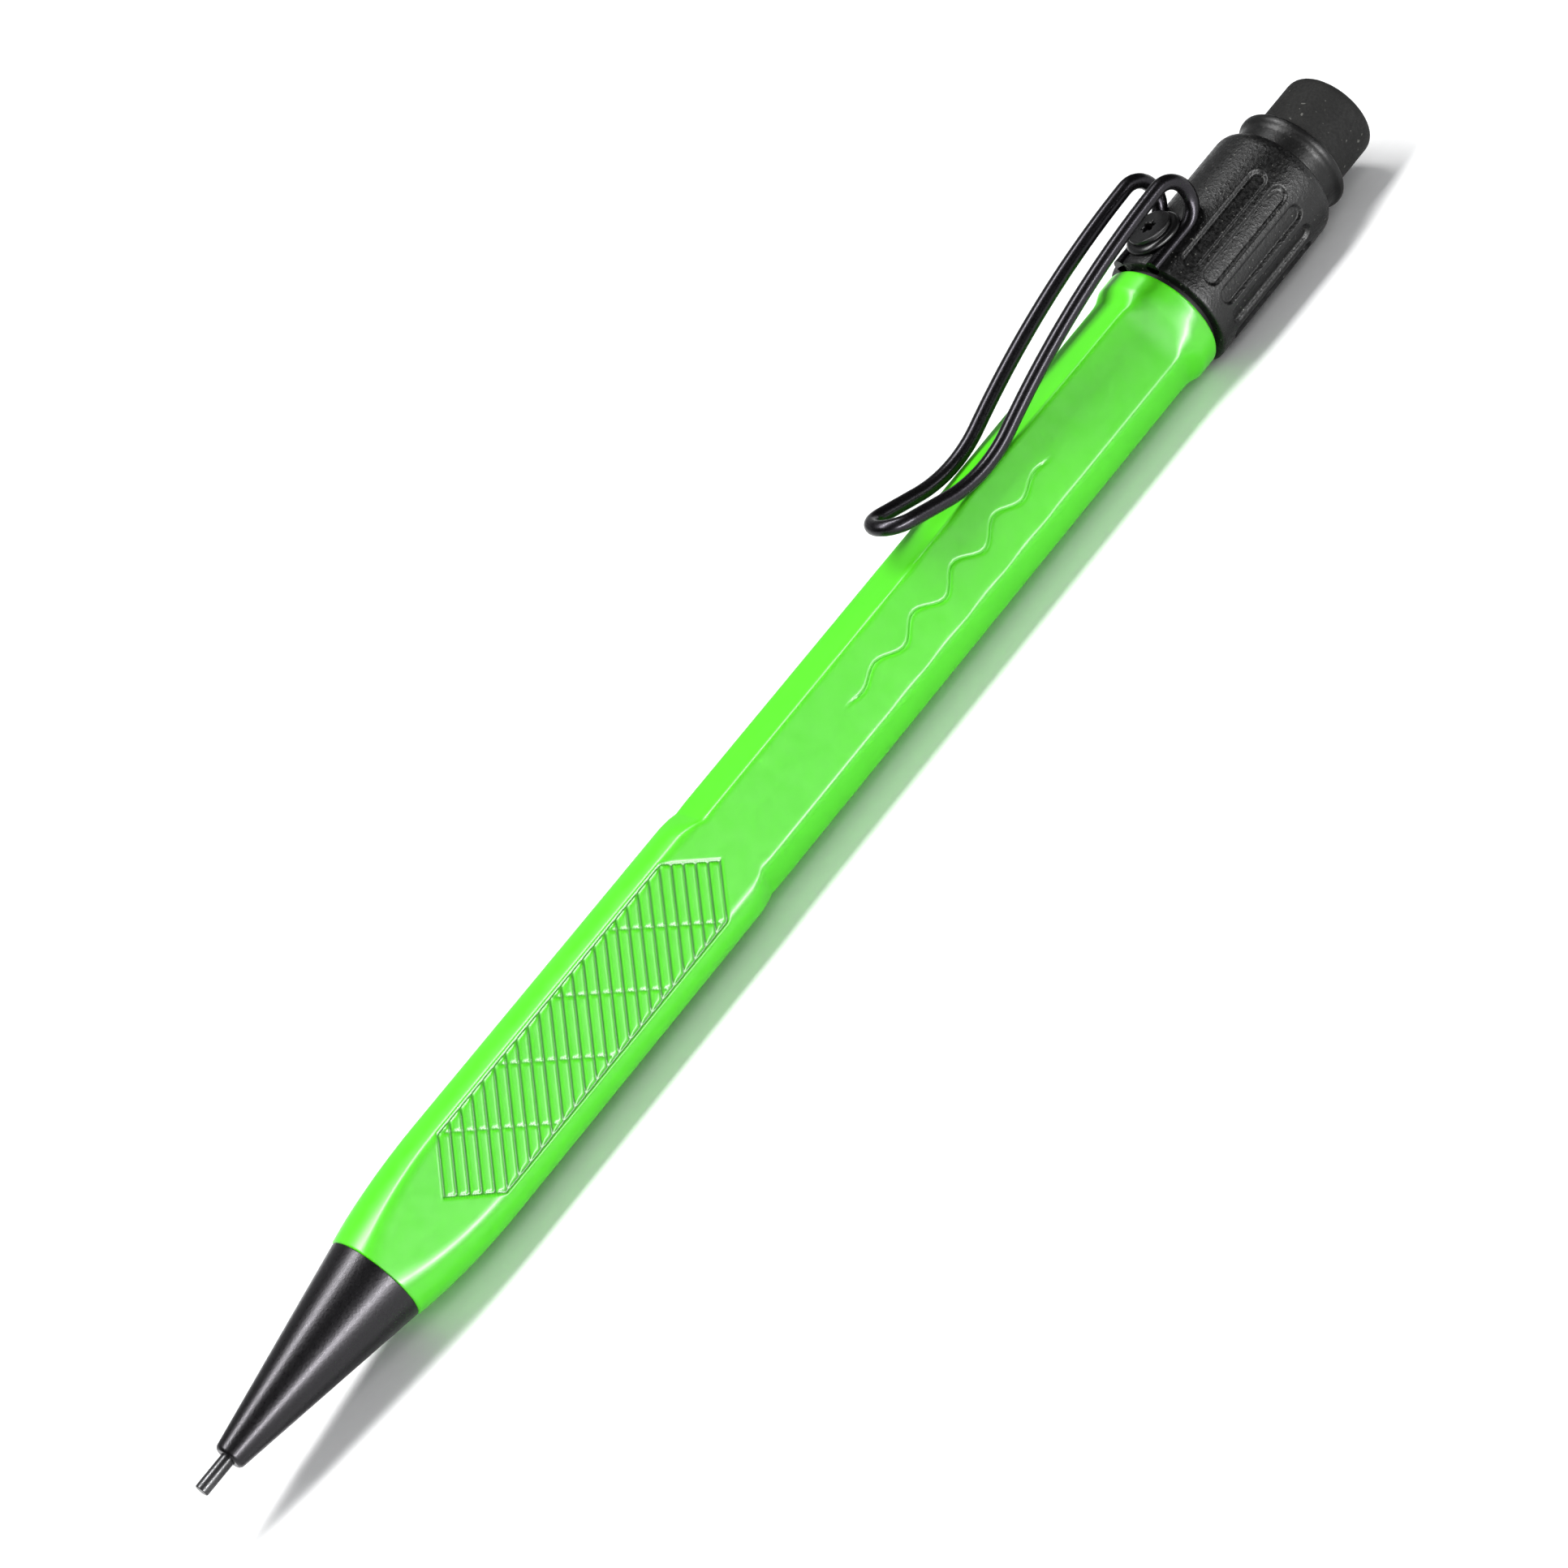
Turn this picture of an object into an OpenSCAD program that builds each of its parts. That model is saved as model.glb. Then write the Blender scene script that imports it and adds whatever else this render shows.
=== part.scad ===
// Lead holder (clutch pencil) with a wire pocket clip, lying on its side.
// Frame: +X runs along the axis from the lead to the eraser, +Z is up through the clip,
// the origin is under the middle of the length, at the height the sleeve rests on.

/* [Lead] */
// Diameter of the lead
lead_d = 1.3; // [0.9:0.05:2.0]
// Length of lead that stands out of the nose
lead_out = 3.4; // [1:0.1:6]
// Length of the lead in use
lead_len = 62; // [50:1:75]
// Length of the spare leads in the tube
spare_len = 60; // [40:1:60]
// Number of spare leads
spare_count = 3; // [1:1:3]

/* [Nose cone] */
// Length of the visible cone
cone_len = 19.2; // [18:0.1:26]
// Wall around the lead at the tip
tip_wall = 0.71; // [0.5:0.01:1.0]
// Step down from the barrel to the base of the cone
cone_step = 0.09; // [0:0.01:0.3]
// Length of the screwed spigot inside the barrel
spigot_len = 8.6; // [6:0.1:10]

/* [Barrel] */
// Length of the barrel
barrel_len = 114.1; // [106:0.1:140]
// Radius where the barrel meets the cone
barrel_front_r = 4.65; // [4.5:0.01:5.2]
// Radius of the round of the grip
grip_r = 5.85; // [5.6:0.01:6.6]
// Distance from the axis to the three wide flats
flat_d = 4.42; // [4.3:0.01:5.4]
// Distance from the axis to the three narrow flats
narrow_d = 5.14; // [5.0:0.01:5.9]
// Radius of the rounded corners of the six-sided part
corner_r = 5.5; // [5.3:0.01:6.4]
// Radius of the collar at the rear
collar_r = 5.93; // [5.7:0.01:6.7]
// Length of the flare from the cone to the full grip
flare_len = 12; // [8:0.1:16]
// Distance from the front of the barrel to the end of the round grip
grip_len = 47.8; // [44:0.1:56]
// Length of the round collar with its shoulder
collar_len = 3.9; // [3:0.1:6]
// Wall around the cone's spigot at the front of the barrel
barrel_wall = 0.93; // [0.8:0.01:1.2]
// Wall between the wide flats and the sleeve's spigot
socket_wall = 0.5; // [0.4:0.01:0.7]

/* [Grip panels] */
// Length of each ribbed panel
panel_len = 37.7; // [30:0.1:42]
// Distance from the front of the barrel to the tip of a panel
panel_start = 8.0; // [7:0.1:9]
// Half width of a panel
panel_half_w = 3.7; // [2.5:0.05:3.9]
// Number of slanted ribs on a panel
rib_count = 25; // [12:1:30]
// Width of the groove between two ribs
rib_groove_w = 0.3; // [0.15:0.01:0.4]
// Depth of the grooves
rib_groove_d = 0.16; // [0.08:0.01:0.25]
// Number of blocks that the crossing grooves make
block_count = 5; // [2:1:8]

/* [End sleeve] */
// Length of the sleeve behind the barrel
sleeve_len = 17.6; // [16.5:0.1:24]
// Outer radius of the sleeve
sleeve_r = 6.27; // [6.2:0.01:7.6]
// Gap between barrel and sleeve, filled by the seal ring
seal_gap = 0.6; // [0.4:0.05:1.2]
// Width of the grooves along the sleeve
flute_w = 1.65; // [0.8:0.05:1.8]
// Depth of the grooves along the sleeve
flute_d = 0.35; // [0.1:0.01:0.5]
// Distance from either end of the sleeve face to the grooves
flute_inset = 1.8; // [1.2:0.1:3]
// Length of the rounded rear edge of the sleeve
sleeve_round = 2.0; // [1:0.1:2.6]
// Length of the screwed spigot inside the barrel
sleeve_spigot_len = 10.3; // [6:0.1:12]

/* [Button and eraser] */
// Travel of the button
press_travel = 1.7; // [1:0.1:1.9]
// Free length of neck between sleeve and flange
neck_show = 2.1; // [2:0.1:3]
// Radius of the neck of the eraser holder
neck_r = 5.24; // [4.9:0.01:5.4]
// Radius of the flange
flange_r = 5.66; // [5.4:0.01:6.2]
// Length of the flange
flange_len = 0.8; // [0.5:0.05:1.5]
// Radius of the eraser
eraser_r = 4.62; // [4:0.01:4.7]
// Length of eraser that stands out
eraser_out = 6.2; // [4:0.1:9]
// Length of eraser held in its socket
eraser_in = 5.3; // [4:0.1:6]
// How much thinner the eraser's shank is than its head, all round
eraser_step = 0.2; // [0.15:0.05:0.5]
// Radius of the rounded edge of the eraser
eraser_round = 0.8; // [0.3:0.05:1.2]

/* [Clip] */
// Diameter of the spring wire
wire_d = 1.45; // [1.1:0.05:1.8]
// Distance between the two wires, centre to centre
wire_gap = 4.45; // [4.2:0.05:5.2]
// Radius of the bend at the root of the clip
hairpin_r = 2.465; // [2.1:0.05:3]
// Length of the legs that the screw clamps
leg_len = 5.1; // [4.5:0.1:7]
// Slope of the top run where it leaves the bend
arm_slope = 1; // [0:0.5:4]
// Length of the straight run down to the barrel
dip_run = 0.86; // [0.3:0.02:4]
// Slope of the lifted tip
tip_slope = 20.5; // [15:0.5:30]
// Radius of the long curve of the arm
arm_curve_r = 100; // [70:1:140]
// Radius of the curve that rests on the barrel
contact_r = 14; // [8:0.5:18]
// Length of the straight run up to the tip bend
tip_run = 4.2; // [2:0.1:8]

/* [Clip screw] */
// Diameter of the screw head
head_d = 5.5; // [5.2:0.1:7]
// Height of the screw head
head_h = 1.1; // [0.8:0.05:1.6]
// Diameter of the screw shank
screw_d = 2.0; // [1.6:0.1:2.6]
// Distance from the front of the sleeve to the screw
screw_pos = 3.5; // [3:0.1:4.2]

/* [Mechanism] */
// Slope of the taper that the ring closes on
jaw_taper = 16; // [14:0.5:18]
// Wall of a jaw's shank
jaw_wall = 0.69; // [0.5:0.01:0.8]
// Mean diameter of the return spring
spring_d = 4.4; // [4:0.1:4.8]
// Diameter of the spring's wire
spring_wire_d = 0.4; // [0.25:0.05:0.5]
// Number of turns of the return spring
spring_turns = 9; // [5:1:12]
// Length of the return spring as fitted
spring_len = 13; // [11:0.5:16]
// Outer radius of the lead tube
tube_r = 2.9; // [2.5:0.05:2.9]
// Wall of the lead tube
tube_wall = 0.4; // [0.3:0.05:0.5]

/* [Fits] */
// Clearance of a part that slides or turns
run_clear = 0.04; // [0.02:0.01:0.06]
// Clearance around the lead in its guides
lead_clear = 0.02; // [0.01:0.01:0.05]
// Free gap where parts pass each other
free_gap = 0.15; // [0.1:0.01:0.3]

/* [Hidden] */
$fn = 64;
eps = 0.01;

// Stations along the axis, from the tip of the lead
cone_z = lead_out;
barrel_z = cone_z + cone_len;
barrel_end = barrel_z + barrel_len;
sleeve_z = barrel_end + seal_gap;
sleeve_end = sleeve_z + sleeve_len;
flange_z = sleeve_end + neck_show;
socket_end = flange_z + flange_len;
total_len = socket_end + eraser_out;
grip_end = barrel_z + grip_len;
collar_z = barrel_end - collar_len;

// Walls and steps of the pieces inside
spigot_step = 0.32; // the bore is this much smaller than the cone's spigot
spigot_wall = 0.62;
ring_ledge = 0.2; // the ring stops on this step inside the cone
housing_front_wall = 0.46;
housing_rear_wall = 0.5;
gland_wall = 0.7;
stem_wall = 0.7;
stem_clear = 0.2; // around the lead
jaw_room = 0.5; // lets the jaws open

// Radii worked out from what surrounds them
lead_r = lead_d / 2;
tip_r = lead_r + tip_wall;
cone_base_r = barrel_front_r - cone_step;
spigot_r = barrel_front_r - barrel_wall;
bore_r = spigot_r - spigot_step;
housing_flange_r = bore_r + spigot_step / 2;
nose_bore_r = spigot_r - spigot_wall;
cavity_r = nose_bore_r - ring_ledge;
ring_r = nose_bore_r - run_clear * 2;
housing_front_r = nose_bore_r - run_clear;
housing_front_bore = housing_front_r - housing_front_wall;
housing_rear_r = bore_r - free_gap;
housing_rear_bore = housing_rear_r - housing_rear_wall;
gland_r = lead_r + gland_wall;
jaw_head_r = cavity_r - jaw_room;
jaw_bore_r = lead_r + lead_clear;
jaw_shank_r = jaw_bore_r + jaw_wall;
stem_bore_r = lead_r + stem_clear;
stem_r = stem_bore_r + stem_wall;
tube_bore_r = tube_r - tube_wall;
rear_socket_r = flat_d - socket_wall;
sleeve_spigot_r = rear_socket_r - run_clear;
tube_guide_r = tube_r + free_gap;
button_bore_r = neck_r + run_clear;
eraser_shank_r = eraser_r - eraser_step;
eraser_socket_r = eraser_shank_r + run_clear;
spring_r = spring_d / 2;

// Lengths of the pieces inside
tip_land = 2.8; // solid nose in front of the gland
gland_len = 2.6;
cavity_setback = 8.6; // from the front of the cone
cavity_flare = 5; // over which the cavity widens
cavity_len = 2;
ring_len = 2.4;
jaw_crown_len = 1.4; // the thickest part of the jaws stands this far in front of the ring
jaw_nose_len = 1.6;
jaw_nose_step = 0.7;
housing_setback = 0.8;
housing_flange_len = 1.2;
spring_setback = 1.8;
pivot_setback = 0.3;
seat_len = 1.5;
seat_margin = 0.5;
bush_gap = 0.6;
bush_flange = 1.4;
bush_len = 6.5;
stem_margin = 1;
button_len = 7; // of the holder inside the sleeve
tube_socket_len = 2.8;
socket_floor_gap = 0.1;
button_margin = 0.2; // left at full press
spigot_margin = 0.5;
spare_gap = 4; // between the lead in use and the spare ones

// Stations of the mechanism
gland_z = cone_z + tip_land;
cavity_z = cone_z + cavity_setback;
cavity_full_z = cavity_z + cavity_flare;
ring_stop_z = cavity_full_z + cavity_len;
ring_z = ring_stop_z + press_travel / 2 + free_gap;
jaw_crown_z = ring_z - jaw_crown_len;
jaw_front_z = jaw_crown_z - jaw_nose_len;
jaw_nose_r = jaw_head_r - jaw_nose_step;
taper_len = (jaw_head_r - jaw_shank_r) / tan(jaw_taper);
housing_z = barrel_z + housing_setback;
spigot_end = barrel_z + spigot_len;
housing_step_z = spigot_end + housing_flange_len;
spring_z = spigot_end + spring_setback;
pivot_z = spigot_end - pivot_setback;
stem_z = pivot_z + free_gap;
seat_z = spring_z + spring_len;
housing_end = seat_z + seat_len + seat_margin;
bush_z = housing_end + bush_gap;
tube_z = bush_z + bush_flange;
stem_end = bush_z + bush_len - stem_margin;
button_z = sleeve_end - button_len;
tube_end = button_z + tube_socket_len;
socket_z = socket_end - eraser_in - socket_floor_gap;
button_bore_z = button_z - press_travel - button_margin;
spigot_front = sleeve_z - sleeve_spigot_len;
rear_socket_z = spigot_front - spigot_margin;
spare_z = lead_len + spare_gap;
// Half way between leads that touch one another and leads that touch the tube
spare_offset = (2 * lead_r / sqrt(3) + tube_bore_r - lead_r) / 2;

// Clip, seen from the side as [station, height above the axis]
wire_r = wire_d / 2;
leg_proud = 0.005; // the screw's head bears on the wires, not on the sleeve
leg_h = sleeve_r - wire_r + leg_proud;
root_z = sleeve_z + leg_len;
root_h = leg_h + hairpin_r;
split_gap = 0.3;
screw_z = sleeve_z + screw_pos;
head_seat = leg_h + wire_r;
insert_r = wire_gap / 2 - wire_r - 0.05; // fits between the wires
insert_bottom = tube_guide_r + 0.3;

// A flat panel's slanted lines
panel_z = barrel_z + panel_start;
rib_pitch = panel_len / rib_count;
block_pitch = panel_len / block_count;

// Turns a shape made along Z, with Y up, into the lying frame
module lay() {
    translate([-total_len / 2, 0, sleeve_r]) rotate([90, 0, 90]) children();
}

// A tube between two stations
module tube(z0, z1, r_out, r_in) {
    difference() {
        translate([0, 0, z0]) cylinder(h = z1 - z0, r = r_out);
        translate([0, 0, z0 - 1]) cylinder(h = z1 - z0 + 2, r = r_in);
    }
}

// A solid cylinder between two stations
module rod(z0, z1, r) {
    translate([0, 0, z0]) cylinder(h = z1 - z0, r = r);
}

// A cone between two stations
module taper(z0, z1, ra, rb) {
    translate([0, 0, z0]) cylinder(h = z1 - z0, r1 = ra, r2 = rb);
}

// ---- Barrel ----

// Radius of the flare at a share t of its length, on one arc that ends along the grip
flare_arc = (flare_len * flare_len + pow(grip_r - barrel_front_r, 2)) / (2 * (grip_r - barrel_front_r));
function flare_r(t) = grip_r - flare_arc + sqrt(pow(flare_arc, 2) - pow((1 - t) * flare_len, 2));

front_edge = 0.15;
shoulder_run = 1;
collar_edge = 0.4;
collar_rise = 1.8;
flare_steps = 12;
edge_steps = 6;
barrel_outline = concat(
    [[0, barrel_z], [barrel_front_r - front_edge, barrel_z]],
    [for (i = [0:flare_steps]) let (t = i / flare_steps)
        [flare_r(t), barrel_z + front_edge * (1 - t) + flare_len * t]],
    [[grip_r, grip_end - shoulder_run], [corner_r, grip_end], [corner_r, collar_z]],
    [for (i = [1:edge_steps]) let (t = i / edge_steps)
        [corner_r + (collar_r - corner_r) * (1 - cos(180 * t)) / 2, collar_z + collar_rise * t]],
    [for (i = [0:edge_steps]) let (a = 90 * i / edge_steps)
        [collar_r - collar_edge * (1 - cos(a)), barrel_end - collar_edge * (1 - sin(a))]],
    [[0, barrel_end]]);

// A flat at distance d from z0 to z1 that runs out in a slope at either end
module flat_cut(d, z0, z1, run0, run1) {
    far = grip_r + 3;
    rotate([0, 90, 0]) linear_extrude(height = 2 * far, center = true) {
        polygon([[-z0, d], [-z1, d], [-z1 - run1 * (far - d), far], [-z0 + run0 * (far - d), far]]);
    }
}

// The grooves of one panel, cut into the flat above it
module panel_cut() {
    slot = rib_groove_w;
    middle = panel_z + panel_len / 2;
    half = panel_len / 2;
    reach = panel_half_w * 3;
    translate([0, flat_d - rib_groove_d, 0]) rotate([-90, 0, 0]) linear_extrude(height = 2)
        intersection() {
            translate([0, -middle]) polygon([[0, half], [panel_half_w, half - panel_half_w],
                [panel_half_w, panel_half_w - half], [0, -half],
                [-panel_half_w, panel_half_w - half], [-panel_half_w, half - panel_half_w]]);
            union() {
                for (i = [0:rib_count])
                    translate([0, -panel_z - i * rib_pitch]) rotate(45)
                        square([2 * reach, slot], center = true);
                for (i = [0:block_count])
                    translate([0, -panel_z - i * block_pitch]) rotate(-45)
                        square([2 * reach, slot], center = true);
                for (side = [-1, 1])
                    translate([side * (panel_half_w - slot / 4), -middle])
                        square([slot / 2, panel_len], center = true);
            }
        }
}

module barrel() {
    wide_run = 1.2;
    narrow_run = 1.6;
    narrow_front_run = 1 / tan(19);
    flat_lap = 0.25;
    color([0.38, 0.86, 0.19]) lay() difference() {
        rotate_extrude($fn = 128) polygon(barrel_outline);
        for (a = [60, 180, 300])
            rotate([0, 0, a]) flat_cut(flat_d, barrel_z - 1, collar_z + flat_lap, 0, wide_run);
        for (a = [0, 120, 240])
            rotate([0, 0, a])
                flat_cut(narrow_d, grip_end - flat_lap, collar_z + flat_lap, narrow_front_run, narrow_run);
        for (a = [60, 180, 300]) rotate([0, 0, a]) panel_cut();
        rod(barrel_z - 1, spigot_end, spigot_r + run_clear);
        rod(spigot_end - eps, housing_step_z, housing_flange_r + run_clear);
        rod(housing_step_z - eps, rear_socket_z + eps, bore_r);
        rod(rear_socket_z, barrel_end + 1, rear_socket_r);
    }
}

// ---- Front end ----

module nose_cone() {
    lip = 0.25;
    color([0.13, 0.13, 0.14]) lay() difference() {
        rotate_extrude() polygon([[0, cone_z], [tip_r - lip, cone_z], [tip_r + lip * 0.1, cone_z + lip],
            [cone_base_r, barrel_z], [spigot_r, barrel_z], [spigot_r, spigot_end], [0, spigot_end]]);
        rod(cone_z - 1, gland_z + eps, lead_r + 0.05);
        rod(gland_z, cavity_z + eps, gland_r);
        taper(cavity_z, cavity_full_z, gland_r + 0.3, cavity_r);
        rod(cavity_full_z - eps, ring_stop_z + eps, cavity_r);
        rod(ring_stop_z, spigot_end + 1, nose_bore_r);
    }
}

module lead() {
    soft = 0.18;
    color([0.2, 0.2, 0.22]) lay() union() {
        taper(0, soft, lead_r - soft, lead_r);
        rod(soft, lead_len, lead_r);
    }
}

module lead_gland() {
    color([0.1, 0.1, 0.1]) lay() difference() {
        rod(gland_z, gland_z + gland_len, gland_r);
        rod(gland_z - 1, gland_z + gland_len + 1, lead_r + lead_clear);
        taper(gland_z + gland_len - 0.8, gland_z + gland_len + eps, lead_r + lead_clear, gland_r - 0.2);
    }
}

// ---- Clutch ----

jaw_slot = 0.3;
throat_gap = 0.28;
jaw_relief_z = ring_z + ring_len;

// One third of the split collet, at angle a
module jaw(a) {
    crown_end = jaw_crown_z + taper_len;
    reach = jaw_head_r * 4;
    lay() rotate([0, 0, a]) intersection() {
        rotate_extrude() polygon([[jaw_bore_r, jaw_front_z], [jaw_nose_r, jaw_front_z],
            [jaw_head_r, jaw_crown_z], [jaw_shank_r, crown_end], [jaw_shank_r, pivot_z],
            [stem_bore_r, pivot_z], [stem_bore_r, jaw_relief_z], [jaw_bore_r, jaw_relief_z]]);
        translate([jaw_slot / sqrt(3), 0, jaw_front_z - 1]) linear_extrude(height = pivot_z - jaw_front_z + 2)
            polygon([[0, 0], [reach / 2, -reach * sqrt(3) / 2], [reach, 0], [reach / 2, reach * sqrt(3) / 2]]);
    }
}

module chuck_jaw_a() { color([0.8, 0.66, 0.35]) jaw(0); }
module chuck_jaw_b() { color([0.8, 0.66, 0.35]) jaw(120); }
module chuck_jaw_c() { color([0.8, 0.66, 0.35]) jaw(240); }

module chuck_ring() {
    ease = 0.03;
    mouth_r = jaw_head_r - (ring_z - jaw_crown_z) * tan(jaw_taper) + ease;
    throat_r = jaw_shank_r + throat_gap;
    throat_z = ring_z + (mouth_r - throat_r) / tan(jaw_taper);
    color([0.85, 0.7, 0.38]) lay() difference() {
        rod(ring_z, ring_z + ring_len, ring_r);
        taper(ring_z, throat_z, mouth_r, throat_r);
        rod(throat_z - eps, ring_z + ring_len + 1, throat_r);
        rod(ring_z - 1, ring_z + eps, mouth_r);
    }
}

module chuck_stem() {
    color([0.78, 0.64, 0.33]) lay() tube(stem_z, stem_end, stem_r, stem_bore_r);
}

module clutch_housing() {
    color([0.83, 0.68, 0.37]) lay() difference() {
        union() {
            rod(housing_z, spigot_end + eps, housing_front_r);
            rod(spigot_end, housing_step_z, housing_flange_r);
            rod(housing_step_z - eps, housing_end, housing_rear_r);
        }
        rod(housing_z - 1, spigot_end + 0.6, housing_front_bore);
        rod(spigot_end, spring_z + eps, stem_r + free_gap);
        rod(spring_z, housing_end + 1, housing_rear_bore);
    }
}

spring_sides = 8;
spring_steps = 16;
spring_rings = spring_turns * spring_steps;

// Centre of the spring's wire after i steps
function coil_angle(i) = 360 * i / spring_steps;
function coil_z(i) = spring_z + spring_wire_d / 2 + (spring_len - spring_wire_d) * i / spring_rings;

module return_spring() {
    points = [for (i = [0:spring_rings]) for (k = [0:spring_sides - 1])
        let (a = coil_angle(i), b = 360 * k / spring_sides,
             r = spring_r + spring_wire_d / 2 * cos(b))
        [r * cos(a), r * sin(a), coil_z(i) + spring_wire_d / 2 * sin(b)]];
    sides = [for (i = [0:spring_rings - 1]) for (k = [0:spring_sides - 1])
        let (n = (k + 1) % spring_sides)
        [i * spring_sides + k, i * spring_sides + n,
         (i + 1) * spring_sides + n, (i + 1) * spring_sides + k]];
    first = [[for (k = [spring_sides - 1:-1:0]) k]];
    last = [[for (k = [0:spring_sides - 1]) spring_rings * spring_sides + k]];
    color([0.7, 0.71, 0.73]) lay() polyhedron(points = points, faces = concat(sides, first, last));
}

module spring_seat() {
    color([0.75, 0.76, 0.78]) lay() tube(seat_z, seat_z + seat_len, housing_rear_bore - 0.08, stem_r);
}

module coupling_bush() {
    color([0.9, 0.9, 0.86]) lay() difference() {
        union() {
            rod(bush_z, tube_z + eps, housing_rear_bore - 0.1);
            rod(tube_z, bush_z + bush_len, tube_bore_r);
        }
        rod(bush_z - 1, stem_end, stem_r);
        taper(stem_end - eps, bush_z + bush_len + eps, stem_bore_r, tube_bore_r - 0.4);
    }
}

module lead_tube() {
    color([0.88, 0.88, 0.84]) lay() tube(tube_z, tube_end, tube_r, tube_bore_r);
}

module spare_leads() {
    color([0.22, 0.22, 0.24]) lay() for (i = [0:spare_count - 1])
        rotate([0, 0, 120 * i]) translate([spare_offset, 0, 0]) rod(spare_z, spare_z + spare_len, lead_r);
}

module tube_stopper() {
    color([0.15, 0.15, 0.15]) lay() difference() {
        rod(tube_end - 3, tube_end, tube_bore_r);
        rod(tube_end - 4, tube_end - 1, tube_bore_r - 0.8);
    }
}

// ---- Button end ----

module eraser_holder() {
    cove = 0.4;
    rim = 0.12;
    skirt_r = neck_r - 0.75;
    boss_r = tube_r + 0.8;
    color([0.14, 0.14, 0.15]) lay() difference() {
        rotate_extrude() polygon([[0, button_z], [neck_r - 0.3, button_z], [neck_r, button_z + 0.3],
            [neck_r, flange_z - cove], [flange_r - rim, flange_z], [flange_r, flange_z + rim],
            [flange_r, socket_end - rim], [flange_r - rim, socket_end], [0, socket_end]]);
        rod(button_z - 1, tube_end, tube_r);
        tube(button_z - 1, tube_end - 0.4, skirt_r, boss_r);
        rod(socket_z, socket_end + 1, eraser_socket_r);
    }
}

module eraser() {
    steps = 8;
    foot = 0.2;
    color([0.12, 0.12, 0.12]) lay() rotate_extrude() polygon(concat(
        [[0, socket_z + 0.1], [eraser_shank_r - foot, socket_z + 0.1], [eraser_shank_r, socket_z + 0.1 + foot],
         [eraser_shank_r, socket_end + 0.05], [eraser_r, socket_end + 0.05]],
        [for (i = [0:steps]) let (a = 90 * i / steps)
            [eraser_r - eraser_round * (1 - cos(a)), total_len - eraser_round * (1 - sin(a))]],
        [[0, total_len]]));
}

// ---- Sleeve ----

// One groove with rounded ends, at angle a from the clip
module flute(a) {
    z0 = sleeve_z + flute_inset + flute_w / 2;
    z1 = sleeve_end - flute_inset - flute_w / 2 - sleeve_round + 0.1;
    rotate([0, 0, a]) translate([0, sleeve_r - flute_d, 0]) rotate([-90, 0, 0])
        linear_extrude(height = 2) union() {
            translate([0, -z0]) circle(d = flute_w, $fn = 32);
            translate([0, -z1]) circle(d = flute_w, $fn = 32);
            translate([-flute_w / 2, -z1]) square([flute_w, z1 - z0]);
        }
}

module end_sleeve() {
    slot_r = wire_r + 0.02;
    steps = 8;
    rear_r = button_bore_r + 0.12;
    front_edge_r = 0.25;
    color([0.12, 0.12, 0.13]) lay() difference() {
        rotate_extrude($fn = 96) polygon(concat(
            [[0, spigot_front], [sleeve_spigot_r, spigot_front], [sleeve_spigot_r, sleeve_z],
             [sleeve_r - front_edge_r, sleeve_z], [sleeve_r, sleeve_z + front_edge_r]],
            [for (i = [0:steps]) let (a = 90 * i / steps)
                [rear_r + (sleeve_r - rear_r) * cos(a), sleeve_end - sleeve_round * (1 - sin(a))]],
            [[0, sleeve_end]]));
        rod(spigot_front - 1, button_bore_z + eps, tube_guide_r);
        rod(button_bore_z, sleeve_end + 1, button_bore_r);
        for (i = [2:14]) flute(22.5 * i);
        for (side = [-1, 1]) translate([side * wire_gap / 2, 0, 0]) {
            translate([0, leg_h, 0]) rod(sleeve_z - 1, root_z, slot_r);
            translate([-slot_r, leg_h, sleeve_z - 1]) cube([2 * slot_r, 3, root_z - sleeve_z + 1]);
            translate([0, root_h, root_z]) rotate([0, 90, 0])
                cylinder(h = 2 * slot_r, r = hairpin_r, center = true);
            translate([0, root_h, root_z]) rotate([0, 90, 0]) rotate_extrude()
                translate([hairpin_r, 0]) circle(r = slot_r + 0.03, $fn = 32);
        }
        translate([0, insert_bottom, screw_z]) rotate([-90, 0, 0]) cylinder(h = 5, r = insert_r);
    }
}

module seal_ring() {
    color([0.08, 0.08, 0.08]) lay() tube(barrel_end, sleeve_z, collar_r - 0.75, sleeve_spigot_r);
}

// ---- Clip ----

// One wire seen from the side: a bend about a centre, from angle a0 to a1 (0 towards the eraser, 90 up)
module wire_bend(centre, r, a0, a1) {
    trim = wire_trim / r * 180 / PI;
    translate([0, centre[1], centre[0]]) rotate([0, -90, 0]) rotate([0, 0, a0 + trim])
        rotate_extrude(angle = a1 - a0 - 2 * trim) translate([r, 0]) circle(r = wire_r, $fn = 32);
}

// A straight run of wire from a point, at an angle in the same view
module wire_run(from, length, angle) {
    translate([0, from[1], from[0]]) rotate([-angle, 0, 0])
        translate([0, 0, wire_trim]) cylinder(h = length - 2 * wire_trim, r = wire_r, $fn = 32);
}

// Where two stretches of wire meet end to end
module wire_joint(at) {
    translate([0, at[1], at[0]]) sphere(r = wire_r + 0.01, $fn = 64);
}

// Both wires, side by side
module pair() {
    for (side = [-1, 1]) translate([side * wire_gap / 2, 0, 0]) children();
}

// Where the arm's bends start and end, in [station, height]
function polar(r, a) = [r * cos(a), r * sin(a)];
half_split = split_gap / 2 / hairpin_r * 180 / PI;
root = [root_z, root_h];
top_end = root + polar(hairpin_r, 90 + arm_slope);
curve_centre = top_end - polar(arm_curve_r, 90 + arm_slope);
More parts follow.
